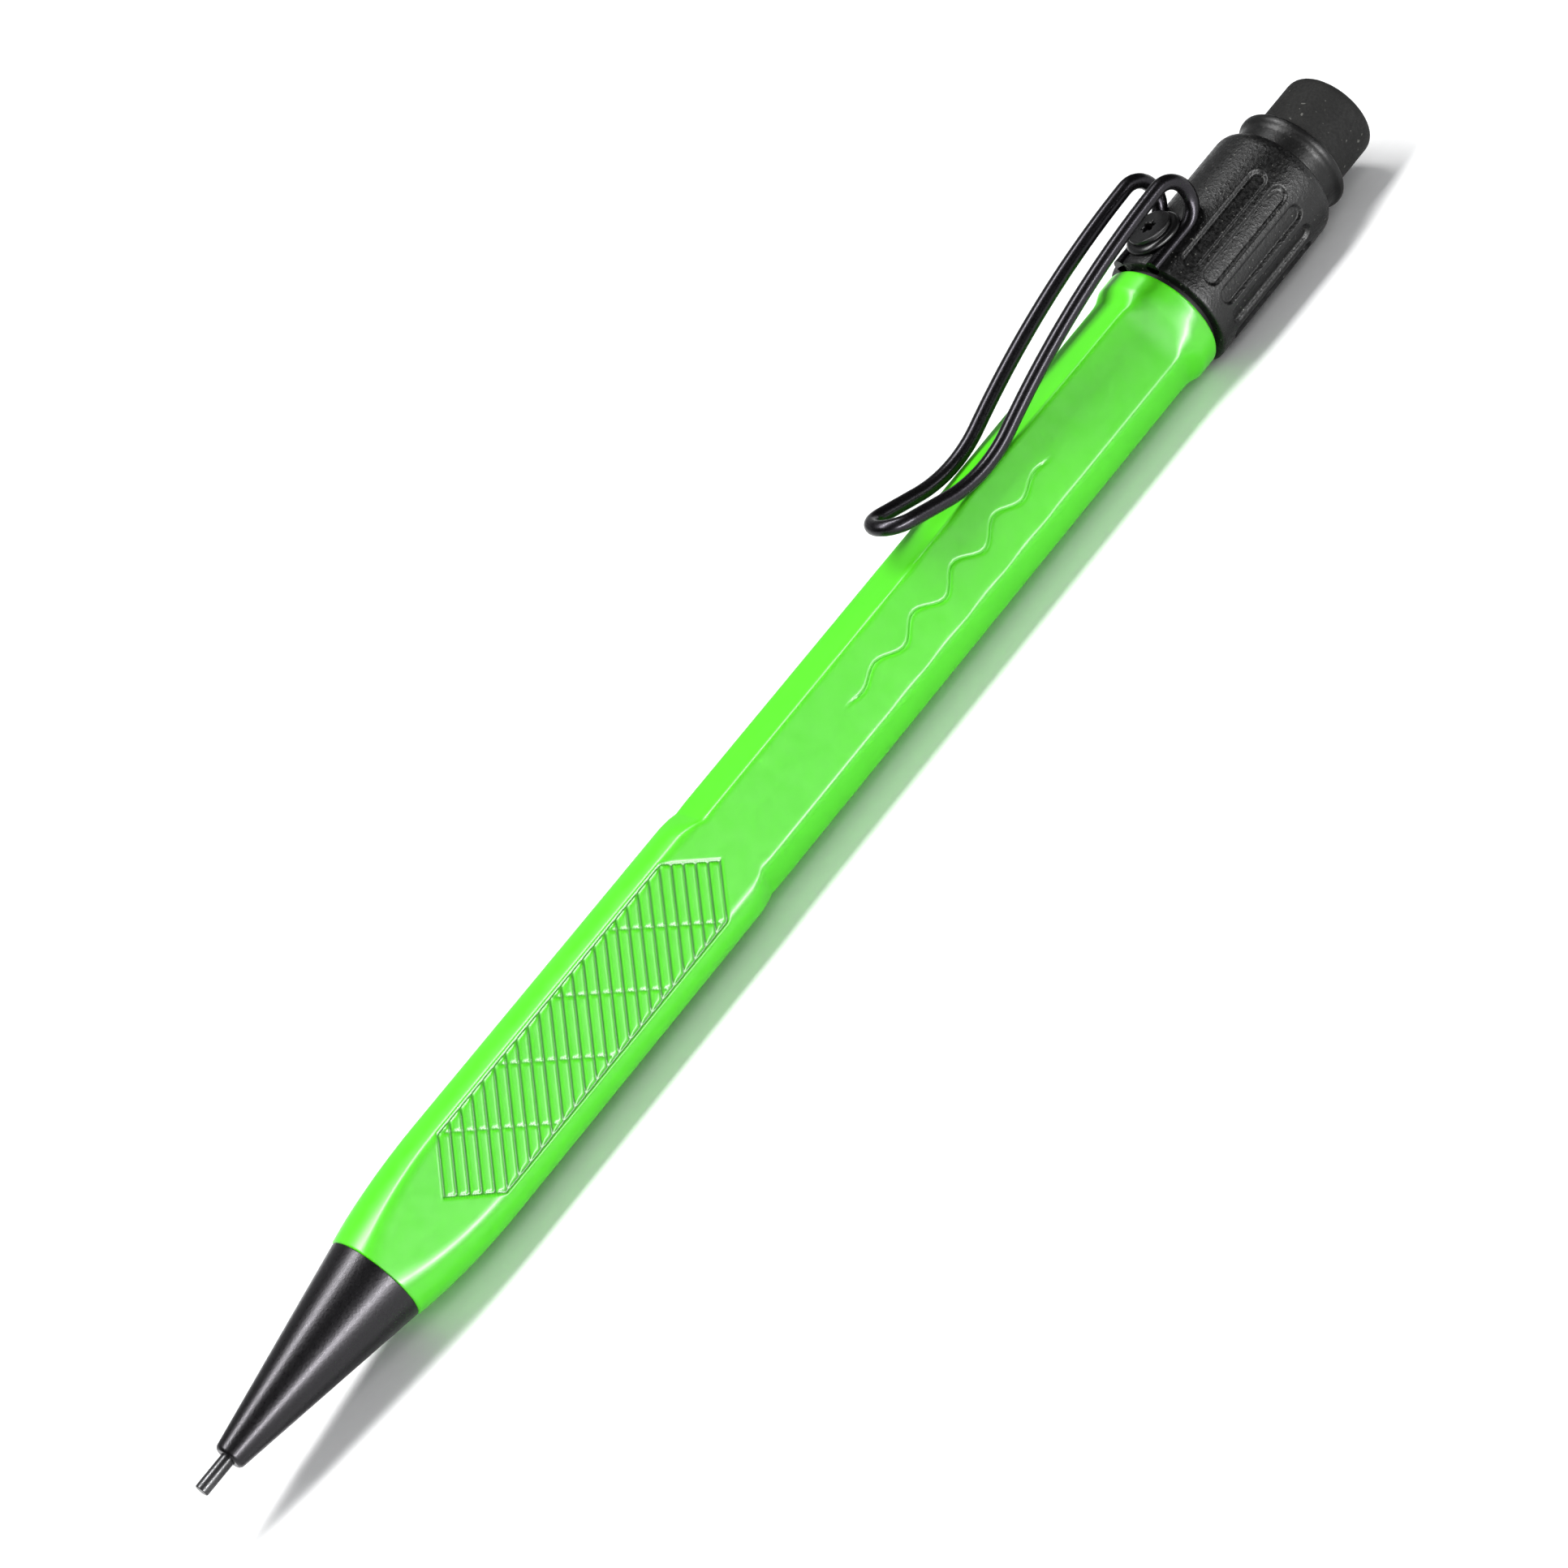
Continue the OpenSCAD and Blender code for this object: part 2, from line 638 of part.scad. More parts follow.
// The slope of the run down is the one at which both curves and the run end on the barrel's flat
contact_h = narrow_d + wire_r - 0.02;
both_curves = arm_curve_r + contact_r;
level = contact_h + contact_r - curve_centre[1];
dip_slope = acos(level / norm([both_curves, dip_run])) - atan(dip_run / both_curves);
curve_end = curve_centre + polar(arm_curve_r, 90 + dip_slope);
dip_end = curve_end + polar(dip_run, 180 + dip_slope);
contact_centre = dip_end + polar(contact_r, 90 + dip_slope);
contact_end = contact_centre + polar(contact_r, 270 - tip_slope);
tip_end = contact_end + polar(tip_run, 180 - tip_slope);
wire_trim = 0.02;

module clip_anchor() {
    color([0.16, 0.16, 0.17]) lay() pair() {
        wire_run([sleeve_z, leg_h], leg_len, 0);
        wire_joint([root_z, leg_h]);
        wire_bend(root, hairpin_r, -90, -half_split);
    }
}

module clip_arm() {
    color([0.16, 0.16, 0.17]) lay() {
        pair() {
            wire_bend(root, hairpin_r, half_split, 90 + arm_slope);
            wire_bend(curve_centre, arm_curve_r, 90 + arm_slope, 90 + dip_slope);
            wire_run(curve_end, dip_run, 180 + dip_slope);
            wire_bend(contact_centre, contact_r, 270 - tip_slope, 270 + dip_slope);
            wire_run(contact_end, tip_run, 180 - tip_slope);
            for (at = [top_end, curve_end, dip_end, contact_end, tip_end]) wire_joint(at);
        }
        translate([0, tip_end[1], tip_end[0]]) rotate([tip_slope - 90, 0, 0])
            rotate([0, 0, wire_trim]) rotate_extrude(angle = 180 - 2 * wire_trim)
                translate([wire_gap / 2, 0]) circle(r = wire_r, $fn = 32);
    }
}

module clip_screw() {
    crown = 0.35;
    socket_r = 0.75;
    socket_depth = 0.75;
    lobe_r = 0.2;
    color([0.14, 0.14, 0.15]) lay() translate([0, head_seat, screw_z]) rotate([-90, 0, 0])
        difference() {
            union() {
                cylinder(h = head_h - crown, r = head_d / 2);
                rotate_extrude() polygon(concat([[0, head_h - crown]],
                    [for (a = [0:15:90]) [head_d / 2 - crown * (1 - cos(a)), head_h - crown * (1 - sin(a))]],
                    [[0, head_h]]));
                translate([0, 0, insert_bottom + 0.2 - head_seat])
                    cylinder(h = head_seat - insert_bottom - 0.2, r = screw_d / 2);
            }
            translate([0, 0, head_h - socket_depth]) {
                cylinder(h = 1, r = socket_r - lobe_r);
                for (a = [0:60:300]) rotate([0, 0, a]) translate([socket_r - lobe_r, 0, 0])
                    cylinder(h = 1, r = lobe_r, $fn = 24);
            }
        }
}

module screw_insert() {
    top = sleeve_r - 0.5;
    color([0.82, 0.68, 0.38]) lay() translate([0, insert_bottom, screw_z]) rotate([-90, 0, 0])
        difference() {
            cylinder(h = top - insert_bottom, r = insert_r);
            translate([0, 0, 0.2]) cylinder(h = 5, r = screw_d / 2);
        }
}

barrel();
nose_cone();
lead();
lead_gland();
chuck_jaw_a();
chuck_jaw_b();
chuck_jaw_c();
chuck_ring();
chuck_stem();
clutch_housing();
return_spring();
spring_seat();
coupling_bush();
lead_tube();
spare_leads();
tube_stopper();
eraser_holder();
eraser();
end_sleeve();
seal_ring();
clip_anchor();
clip_arm();
clip_screw();
screw_insert();
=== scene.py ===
import math

import bpy
import numpy as np
from mathutils import Matrix, Vector


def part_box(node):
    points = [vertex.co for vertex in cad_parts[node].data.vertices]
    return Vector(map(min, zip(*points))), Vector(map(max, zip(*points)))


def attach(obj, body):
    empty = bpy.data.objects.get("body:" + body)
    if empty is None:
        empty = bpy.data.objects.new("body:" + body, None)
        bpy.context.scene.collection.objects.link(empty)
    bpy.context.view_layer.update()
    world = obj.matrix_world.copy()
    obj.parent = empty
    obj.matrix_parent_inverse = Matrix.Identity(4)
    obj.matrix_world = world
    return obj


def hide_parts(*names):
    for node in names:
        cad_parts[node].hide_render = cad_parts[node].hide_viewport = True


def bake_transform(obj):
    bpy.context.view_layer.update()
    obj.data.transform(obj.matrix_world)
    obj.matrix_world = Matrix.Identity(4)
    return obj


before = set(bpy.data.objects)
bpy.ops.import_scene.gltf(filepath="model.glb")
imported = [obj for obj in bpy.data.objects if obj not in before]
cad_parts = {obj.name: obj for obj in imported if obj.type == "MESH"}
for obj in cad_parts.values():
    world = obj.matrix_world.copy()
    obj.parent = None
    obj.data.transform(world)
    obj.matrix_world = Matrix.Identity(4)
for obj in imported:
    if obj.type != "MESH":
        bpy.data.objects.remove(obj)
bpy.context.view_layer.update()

mm = 0.001
third, firstFlat = 2 * math.pi / 3, math.pi / 3  # the barrel repeats three times round; its first wide flat
sleeveLow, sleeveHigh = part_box("end_sleeve")
axisHeight = sleeveLow.z + (sleeveHigh.y - sleeveLow.y) / 2  # the lead's own line, above the floor
barrelFront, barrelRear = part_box("barrel")[0].x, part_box("barrel")[1].x
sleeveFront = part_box("seal_ring")[1].x


def addNode(tree, kind, feeds=None, **settings):
    # feeds go to input sockets: a node stands for its first output, a plain value is typed in
    node = tree.nodes.new(kind)
    for name, value in settings.items():
        setattr(node, name, value)
    for name, value in (feeds or {}).items():
        if isinstance(value, bpy.types.Node):
            value = value.outputs[0]
        if isinstance(value, bpy.types.NodeSocket):
            tree.links.new(value, node.inputs[name])
        else:
            node.inputs[name].default_value = value
    return node


def fromHex(code):
    # "#64DA32" in sRGB to linear light
    parts = [int(code[i:i + 2], 16) / 255 for i in (1, 3, 5)]
    linear = [p / 12.92 if p <= 0.04045 else ((p + 0.055) / 1.055) ** 2.4 for p in parts]
    return (*linear, 1.0)


def onAxis(x, radius, angle):
    # angle 0 is up, through the clip, and grows towards -Y
    return np.stack([x, -radius * np.sin(angle), axisHeight + radius * np.cos(angle)], axis=-1)


def meshObject(name, points, faces, sharpAngle=35):
    mesh = bpy.data.meshes.new(name)
    mesh.from_pydata([tuple(p) for p in points], [], faces)
    mesh.validate()
    mesh.polygons.foreach_set("use_smooth", [True] * len(mesh.polygons))
    mesh.set_sharp_from_angle(angle=math.radians(sharpAngle))
    piece = bpy.data.objects.new(name, mesh)
    bpy.context.scene.collection.objects.link(piece)
    return piece


def ringFaces(rows, columns):
    # quads between neighbouring rings, and between the last ring and the first
    faces = []
    for i in range(rows):
        here, there = i * columns, (i + 1) % rows * columns
        for j in range(columns):
            k = (j + 1) % columns
            faces.append((here + k, there + k, there + j, here + j))
    return faces


def rounded(outline, steps=5):
    # each point is (x, radius, fillet) in mm; a fillet turns the corner into an arc-like run of points
    path = []
    for i, (x, r, fillet) in enumerate(outline):
        here = np.array([x, r])
        if fillet == 0 or i in (0, len(outline) - 1):
            path.append(here)
            continue
        before, after = np.array(outline[i - 1][:2]), np.array(outline[i + 1][:2])
        a = here + (before - here) / np.linalg.norm(before - here) * fillet
        b = here + (after - here) / np.linalg.norm(after - here) * fillet
        for t in np.linspace(0, 1, steps + 1):
            path.append(a * (1 - t) ** 2 + here * 2 * t * (1 - t) + b * t ** 2)
    return np.array(path)


def turned(name, outline, columns, closed, steps):
    # a piece from the lathe: its outline in mm runs from the front to the rear along the outside, and a closed
    # one comes back along the inside
    path = rounded(outline, steps) * mm
    angles = np.linspace(0, 2 * math.pi, columns, endpoint=False)
    points, faces, rings = [], [], []
    for x, r in path:
        if r < 1e-7:
            rings.append([len(points)])
            points.append((x, 0, axisHeight))
            continue
        rings.append(list(range(len(points), len(points) + columns)))
        points.extend(onAxis(np.full(columns, x), r, angles))
    pairs = list(zip(rings, rings[1:])) + ([(rings[-1], rings[0])] if closed else [])
    for here, there in pairs:
        if len(here) + len(there) == 2:
            continue  # two poles in a row: nothing between them
        for j in range(columns):
            k = (j + 1) % columns
            if len(here) == 1:
                faces.append((here[0], there[k], there[j]))
            elif len(there) == 1:
                faces.append((here[k], there[0], here[j]))
            else:
                faces.append((here[k], there[k], there[j], here[j]))
    return meshObject(name, points, faces)


def applyTree(piece, tree, values):
    # runs a Geometry Nodes tree on a piece and keeps the result as a plain mesh
    modifier = piece.modifiers.new(tree.name, "NODES")
    modifier.node_group = tree
    for item in tree.interface.items_tree:
        if item.in_out == "INPUT" and item.name in values:
            modifier[item.identifier] = values[item.name]
    done = bpy.data.meshes.new_from_object(piece.evaluated_get(bpy.context.evaluated_depsgraph_get()))
    piece.modifiers.clear()
    piece.data = done
    piece.data.name = piece.name
    return piece


def newTree(name, inputs):
    tree = bpy.data.node_groups.new(name, "GeometryNodeTree")
    tree.interface.new_socket("Geometry", in_out="INPUT", socket_type="NodeSocketGeometry")
    for label, kind in inputs.items():
        tree.interface.new_socket(label, in_out="INPUT", socket_type=kind)
    tree.interface.new_socket("Geometry", in_out="OUTPUT", socket_type="NodeSocketGeometry")
    return tree, addNode(tree, "NodeGroupInput"), addNode(tree, "NodeGroupOutput")


def closeTree(tree, start, end, geometry):
    # every tree ends alike: instances made real, then the material
    real = addNode(tree, "GeometryNodeRealizeInstances", {"Geometry": geometry})
    painted = addNode(tree, "GeometryNodeSetMaterial",
                      {"Geometry": real, "Material": start.outputs["Material"]})
    tree.links.new(painted.outputs[0], end.inputs["Geometry"])


cameraSizes = {
    "towards": (-0.3338, -0.7995, 0.4996),  # from the object to the camera
    "across": (0.0, 0.5299, 0.8480),  # across the barrel, towards the clip, square to the view
    "target": (-3.14, 0.0, 6.27), "shift": -0.21,  # mm
    "distance": 415.6, "lens": 110.2, "sensor": 36.0, "roll": 50.67, "seenFrom": 10.0, "seenTo": 20000.0,
}


def makeCamera(sizes):
    towards = Vector(sizes["towards"]).normalized()
    across = Vector(sizes["across"]).normalized()
    along = (Vector((1, 0, 0)) - towards * towards.x).normalized()
    turn = math.radians(sizes["roll"])
    right = along * math.cos(turn) - across * math.sin(turn)
    up = along * math.sin(turn) + across * math.cos(turn)
    target = (Vector(sizes["target"]) + across * sizes["shift"]) * mm
    data = bpy.data.cameras.new("camera")
    data.lens, data.sensor_width = sizes["lens"], sizes["sensor"]
    data.clip_start, data.clip_end = sizes["seenFrom"] * mm, sizes["seenTo"] * mm
    camera = bpy.data.objects.new("camera", data)
    camera.matrix_world = Matrix((right, up, towards)).transposed().to_4x4()
    camera.location = target + towards * sizes["distance"] * mm
    bpy.context.scene.collection.objects.link(camera)
    bpy.context.scene.camera = camera


def newMaterial(name):
    material = bpy.data.materials.new(name)
    material.use_nodes = True
    tree = material.node_tree
    return material, tree, tree.nodes["Principled BSDF"]


floorSizes = {"half": 1.6, "curve": 0.5, "height": 1.2, "steps": 10, "grain": 0.00111}  # metres


def paleFloor(sizes):
    # painted board, matt: an even off-white that only shows the soft shadow
    material, tree, shader = newMaterial("pale painted board")
    place = addNode(tree, "ShaderNodeTexCoord")
    grain = addNode(tree, "ShaderNodeTexNoise",
                    {"Vector": place.outputs["Object"], "Scale": 1 / sizes["grain"], "Detail": 3.0})
    tint = addNode(tree, "ShaderNodeMix", {"Factor": grain, 6: fromHex("#FAFAFA"), 7: fromHex("#FFFFFF")},
                   data_type="RGBA")
    tree.links.new(tint.outputs[2], shader.inputs["Base Color"])
    shader.inputs["Roughness"].default_value = 0.8
    shader.inputs["Specular IOR Level"].default_value = 0.2
    half, curve, steps = sizes["half"], sizes["curve"], sizes["steps"]
    profile = [(-half, 0.0), (half - curve, 0.0)]
    for i in range(1, steps + 1):
        turn = math.pi / 2 * i / steps
        profile.append((half - curve + curve * math.sin(turn), curve * (1 - math.cos(turn))))
    profile.append((half, sizes["height"]))
    points = [(side * half, y, z) for y, z in profile for side in (-1, 1)]
    faces = [(2 * i, 2 * i + 1, 2 * i + 3, 2 * i + 2) for i in range(len(profile) - 1)]
    floor = meshObject("floor", points, faces)
    floor.data.materials.append(material)


lightSizes = {
    # name: angle round the barrel from straight up towards the camera's side, distance, width, length, watts,
    # and whether matt surfaces and glossy ones see it: the streaks only show on gloss, the fill never does
    "overheadBox": (-12, 0.62, 0.16, 0.75, 5.0, True, True),
    "fillPanel": (48, 1.10, 0.60, 0.90, 3.3, True, False),
    "topStreak": (-8, 0.60, 0.05, 0.80, 5.6, False, True),
    "frontStreak": (84, 0.60, 0.07, 0.80, 12.0, False, True),
}
lightLean = -0.10  # every light leans this much towards the tip
roomLight = {"colour": "#F4F6F8", "strength": 0.32}


def softLight(name, angle, distance, width, length, watts, onMatt, onGloss):
    data = bpy.data.lights.new(name, "AREA")
    data.shape, data.size, data.size_y, data.energy = "RECTANGLE", length, width, watts
    lamp = bpy.data.objects.new(name, data)
    lamp.visible_diffuse, lamp.visible_glossy = onMatt, onGloss
    turn = math.radians(angle)
    aim = Vector((lightLean, -math.sin(turn), math.cos(turn))).normalized()
    side = Vector((1, 0, 0))
    side = (side - aim * side.dot(aim)).normalized()
    lamp.matrix_world = Matrix((side, aim.cross(side), aim)).transposed().to_4x4()
    lamp.location = Vector((0, 0, axisHeight)) + aim * distance
    bpy.context.scene.collection.objects.link(lamp)


makeCamera(cameraSizes)
paleFloor(floorSizes)
for lightName, values in lightSizes.items():
    softLight(lightName, *values)
world = bpy.data.worlds.new("studio")
bpy.context.scene.world = world
world.use_nodes = True
room = world.node_tree.nodes["Background"].inputs
room["Color"].default_value, room["Strength"].default_value = fromHex(roomLight["colour"]), roomLight["strength"]
world.cycles_visibility.glossy = False  # the room itself doesn't show in the gloss
bpy.context.scene.view_settings.view_transform = "Standard"
print("camera, floor and lights set")


lacquerSizes = {"cloud": 11.1, "peel": 1.43, "peelHeight": 0.02}  # mm: width of the tint's clouds, orange peel


def paintedGreen():
    # moulded ABS under a glossy bright green lacquer: smooth, a little uneven so that highlights break up,
    # and darker in the grooves: painted shade there, darker as a groove gets deeper, along with lacquer pooled in
    # them
    material, tree, shader = newMaterial("green lacquered ABS")
    place = addNode(tree, "ShaderNodeTexCoord")
    cloud = addNode(tree, "ShaderNodeTexNoise", {"Vector": place.outputs["Object"], "Detail": 3.0,
                                                 "Scale": 1 / (lacquerSizes["cloud"] * mm)})
    colour = addNode(tree, "ShaderNodeValToRGB", {"Fac": cloud})
    colour.color_ramp.elements[0].position, colour.color_ramp.elements[1].position = 0.3, 0.7
    colour.color_ramp.elements[0].color = fromHex("#4EDA0C")
    colour.color_ramp.elements[1].color = fromHex("#54E010")
    groove = addNode(tree, "ShaderNodeAttribute", attribute_name="groove")
    # painted shade in the grooves: the green darkens with each groove's depth
    grooveShadeAndPool = addNode(tree, "ShaderNodeMix", {"Factor": groove.outputs["Fac"], 6: colour, 7: fromHex("#2E9408")},
                     data_type="RGBA")
    tree.links.new(grooveShadeAndPool.outputs[2], shader.inputs["Base Color"])
    peel = addNode(tree, "ShaderNodeTexNoise", {"Vector": place.outputs["Object"], "Detail": 2.0,
                                                "Scale": 1 / (lacquerSizes["peel"] * mm)})
    rough = addNode(tree, "ShaderNodeMapRange", {"Value": peel, "To Min": 0.30, "To Max": 0.42})
    tree.links.new(rough.outputs[0], shader.inputs["Roughness"])
    bump = addNode(tree, "ShaderNodeBump", {"Height": peel, "Strength": 0.06,
                                           "Distance": lacquerSizes["peelHeight"] * mm})
    tree.links.new(bump.outputs[0], shader.inputs["Normal"])
    shader.inputs["IOR"].default_value = 1.5
    shader.inputs["Coat Weight"].default_value = 0.10
    shader.inputs["Coat Roughness"].default_value = 0.16
    return material


unevenness, dustAndGlintColour = 2.86, "#84847E"  # mm: width of the patches on black finishes; colour of dust and of painted glints


def blackFinish(name, base, light, grain, depth, rough, metallic=0.0, ior=1.5, speck=0.0, gleam=0.5, cast="#FFFFFF",
                grit=0.38):
    # grain is the size of one grain in mm and depth its height; gleam is the specular level, cast its tint;
    # speck is how strongly the pale specks (dust, and painted glints) show and grit their size in mm
    material, tree, shader = newMaterial(name)
    place = addNode(tree, "ShaderNodeTexCoord")
    fine = addNode(tree, "ShaderNodeTexNoise",
                   {"Vector": place.outputs["Object"], "Scale": 1 / (grain * mm), "Detail": 3.0, "Roughness": 0.6})
    wide = addNode(tree, "ShaderNodeTexNoise",
                   {"Vector": place.outputs["Object"], "Scale": 1 / (unevenness * mm), "Detail": 3.0})
    both = addNode(tree, "ShaderNodeMath", {0: fine, 1: wide}, operation="MULTIPLY")
    ramp = addNode(tree, "ShaderNodeValToRGB", {"Fac": both})
    ramp.color_ramp.elements[0].position, ramp.color_ramp.elements[1].position = 0.15, 0.42
    ramp.color_ramp.elements[0].color, ramp.color_ramp.elements[1].color = fromHex(base), fromHex(light)
    tone = ramp
    if speck > 0:
        # dust and lint on rubber; on the nylon and the ABS, painted glints where the tops of the grains catch the
        # light
        dustAndGlintNoise = addNode(tree, "ShaderNodeTexNoise",
                       {"Vector": place.outputs["Object"], "Scale": 1 / (grit * mm), "Detail": 1.0, "Roughness": 0.3})
        some = addNode(tree, "ShaderNodeMapRange",
                       {"Value": dustAndGlintNoise, "From Min": 0.74, "From Max": 0.79, "To Max": speck})
        tone = addNode(tree, "ShaderNodeMix", {"Factor": some, 6: ramp, 7: fromHex(dustAndGlintColour)}, data_type="RGBA")
    tree.links.new(tone.outputs[2 if speck > 0 else 0], shader.inputs["Base Color"])
    gloss = addNode(tree, "ShaderNodeMapRange",
                    {"Value": fine, "From Min": 0.3, "From Max": 0.7, "To Min": rough[1], "To Max": rough[0]})
    tree.links.new(gloss.outputs[0], shader.inputs["Roughness"])
    bump = addNode(tree, "ShaderNodeBump", {"Height": fine, "Strength": 1.0, "Distance": depth * mm})
    tree.links.new(bump.outputs[0], shader.inputs["Normal"])
    shader.inputs["Metallic"].default_value = metallic
    shader.inputs["IOR"].default_value = ior
    shader.inputs["Specular IOR Level"].default_value = gleam
    shader.inputs["Specular Tint"].default_value = fromHex(cast)
    return material


toolRings = {"pitch": 0.75, "height": 0.01}  # mm: wider apart than a real tool leaves them, so that they show


def turnedMetal(name, dark, light, rough):
    # machined on a lathe: rings round the axis; a wave texture makes ten periods in pi units
    material, tree, shader = newMaterial(name)
    place = addNode(tree, "ShaderNodeTexCoord")
    rings = addNode(tree, "ShaderNodeTexWave",
                    {"Vector": place.outputs["Object"], "Scale": math.pi / 10 / (toolRings["pitch"] * mm),
                     "Distortion": 1.5, "Detail": 2.0},
                    bands_direction="X")
    ramp = addNode(tree, "ShaderNodeValToRGB", {"Fac": rings})
    ramp.color_ramp.elements[0].color, ramp.color_ramp.elements[1].color = fromHex(dark), fromHex(light)
    tree.links.new(ramp.outputs[0], shader.inputs["Base Color"])
    bump = addNode(tree, "ShaderNodeBump", {"Height": rings, "Strength": 0.3,
                                           "Distance": toolRings["height"] * mm})
    tree.links.new(bump.outputs[0], shader.inputs["Normal"])
    gloss = addNode(tree, "ShaderNodeMapRange", {"Value": rings, "To Min": rough - 0.05, "To Max": rough + 0.05})
    tree.links.new(gloss.outputs[0], shader.inputs["Roughness"])
    shader.inputs["Metallic"].default_value = 1.0
    return material


waxCloud = 3.33  # mm: width of the clouds in natural acetal


def milkyPlastic():
    # natural acetal: milky, faintly waxy
    material, tree, shader = newMaterial("natural acetal")
    place = addNode(tree, "ShaderNodeTexCoord")
    cloud = addNode(tree, "ShaderNodeTexNoise",
                    {"Vector": place.outputs["Object"], "Scale": 1 / (waxCloud * mm), "Detail": 3.0})
    ramp = addNode(tree, "ShaderNodeValToRGB", {"Fac": cloud})
    ramp.color_ramp.elements[0].color, ramp.color_ramp.elements[1].color = fromHex("#DCDCD2"), fromHex("#EDEDE6")
    tree.links.new(ramp.outputs[0], shader.inputs["Base Color"])
    gloss = addNode(tree, "ShaderNodeMapRange", {"Value": cloud, "To Min": 0.38, "To Max": 0.5})
    tree.links.new(gloss.outputs[0], shader.inputs["Roughness"])
    shader.inputs["IOR"].default_value = 1.48
    return material


finishes = {
    "green": paintedGreen(),
    # bead-blasted and black anodised aluminium: satin, soft streaks of light, near black between them
    "cone": blackFinish("black anodised aluminium", "#090909", "#121113", grain=0.22, depth=0.010,
                        rough=(0.26, 0.36), metallic=0.20, gleam=0.42, cast="#F4F0F8"),
    # glass-filled nylon from a spark-eroded mould: each grain catches the light by itself, drawn twice as coarse; its
    # pale specks are painted glints
    "sleeve": blackFinish("spark textured nylon", "#060606", "#0F0F0F", grain=0.30, depth=0.060,
                          rough=(0.26, 0.56), speck=0.85, gleam=0.30, grit=0.24),
    # the same mould texture, finer, with fainter painted glints
    "holder": blackFinish("satin black ABS", "#080808", "#121212", grain=0.26, depth=0.022,
                          rough=(0.32, 0.48), speck=0.25, gleam=0.24, grit=0.24),
    # spring wire dipped in black lacquer, with a violet cast where light glances off
    "wire": blackFinish("black lacquered spring wire", "#060606", "#0C0B0C", grain=0.24, depth=0.006,
                        rough=(0.24, 0.34), gleam=0.30, cast="#F6F0FF"),
    # black oxide on a steel screw: dark, with a metal's own gleam
    "screw": blackFinish("black oxide steel", "#101010", "#1C1C1D", grain=0.22, depth=0.006,
                         rough=(0.26, 0.38), metallic=0.4),
    # vulcanised rubber, dull and dusty
    "eraser": blackFinish("black eraser rubber", "#0C0C0B", "#181816", grain=0.26, depth=0.035,
                          rough=(0.66, 0.85), ior=1.52, speck=0.45, gleam=0.2),
    # nitrile rubber from a smooth mould: black with a faint sheen
    "seal": blackFinish("nitrile rubber", "#0B0B0B", "#151515", grain=0.24, depth=0.008,
                        rough=(0.50, 0.60), ior=1.52, gleam=0.3),
    # pressed graphite, burnished as it slides
    "lead": blackFinish("burnished graphite", "#2C2C2D", "#565658", grain=0.16, depth=0.006,
                        rough=(0.24, 0.38), metallic=0.7),
    # turned brass: warm yellow, with the tool's rings
    "brass": turnedMetal("turned brass", "#B58A3C", "#D9B566", 0.28),
    # drawn spring steel: bright and cold
    "spring": turnedMetal("bright spring steel", "#8C8F93", "#C2C5C9", 0.24),
    # bar stock acetal, left its own milky white
    "natural": milkyPlastic(),
}
print("materials made:", len(finishes))

nodeFinish = {
    "nose_cone": "cone", "lead": "lead", "spare_leads": "lead", "lead_gland": "seal", "seal_ring": "seal",
    "chuck_jaw_a": "brass", "chuck_jaw_b": "brass", "chuck_jaw_c": "brass", "chuck_ring": "brass",
    "chuck_stem": "brass", "clutch_housing": "brass", "screw_insert": "brass", "return_spring": "spring",
    "spring_seat": "spring", "coupling_bush": "natural", "lead_tube": "natural", "tube_stopper": "holder",
    "eraser_holder": "holder", "eraser": "eraser", "end_sleeve": "sleeve", "clip_anchor": "wire",
    "clip_arm": "wire", "clip_screw": "screw", "barrel": "green",
}
for nodeName, finish in nodeFinish.items():
    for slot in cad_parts[nodeName].material_slots:
        slot.material = finishes[finish]


barrelSizes = {  # mm
    "flat": 4.42, "narrowFlat": 5.14, "frontRadius": 4.65, "gripRadius": 5.85, "cornerRadius": 5.5,
    "collarRadius": 5.93, "flare": 12.0, "grip": 47.8, "drop": 1.0, "collar": 3.9, "collarRise": 1.8,
    "rearEdge": 0.4, "rampSlope": 0.344, "edgeSoftGrip": 0.42, "edgeSoftShaft": 0.20,
    "frontBore": 3.76, "frontBoreLength": 8.6, "bore": 3.4, "rearBore": 3.92, "rearBoreLength": 10.2,
    "softRun": 3.0, "mouth": (0.12, 0.05),  # where the edges get sharper; how far the first rings draw in
    # the wide flats run out into the collar: start ahead of it, length, height past it and softness
    "fadeAhead": 0.9, "fade": 4.4, "fadePast": 0.35, "fadeSoft": 0.7,
    # the narrow flats end short of the grip, and climb at the collar
    "rampGap": 0.25, "climbGap": 0.1, "climbRun": 2.4, "climb": 1.1,
}
ringRuns = {  # mm: the mesh rings' start, end and spacing, from the places that barrelStations names
    "mouth": (0.0, 0.05, 0.12, 0.25), "flare": (0.6, 0.2, 0.4), "shoulder": (0.2, 2.4, 0.2),
    "shaft": (2.7, 0.6, 0.55), "collar": (0.4, 2.6, 0.15), "endTurns": (22.5, 45, 67.5, 90),
}
columnRuns = {"near": 5, "nearStep": 1.1, "far": 7}  # mesh lines beside a flat's cells; degrees between the near ones
panelSizes = {  # mm
    "start": 8.0, "length": 37.7, "halfWidth": 3.7, "ribs": 25, "blocks": 5,
    "ribGroove": 0.21, "ribDepth": 0.17, "crossGroove": 0.19, "crossDepth": 0.12,
    "borderGroove": 0.20, "borderDepth": 0.18, "crown": 0.035, "cells": 50, "cellSpan": 7.6,
    "margin": 0.4, "edge": 0.12, "skin": 0.4,  # fine cells past the panel, its soft edge, how deep a flat's skin goes
}
waveSizes = {  # mm; gain and gate set how soon the cut reaches its full depth
    "start": 64.0, "length": 30.0, "period": 6.0, "swing": 0.75, "groove": 0.24, "depth": 0.13,
    "gain": 3.0, "gate": 0.2,
}


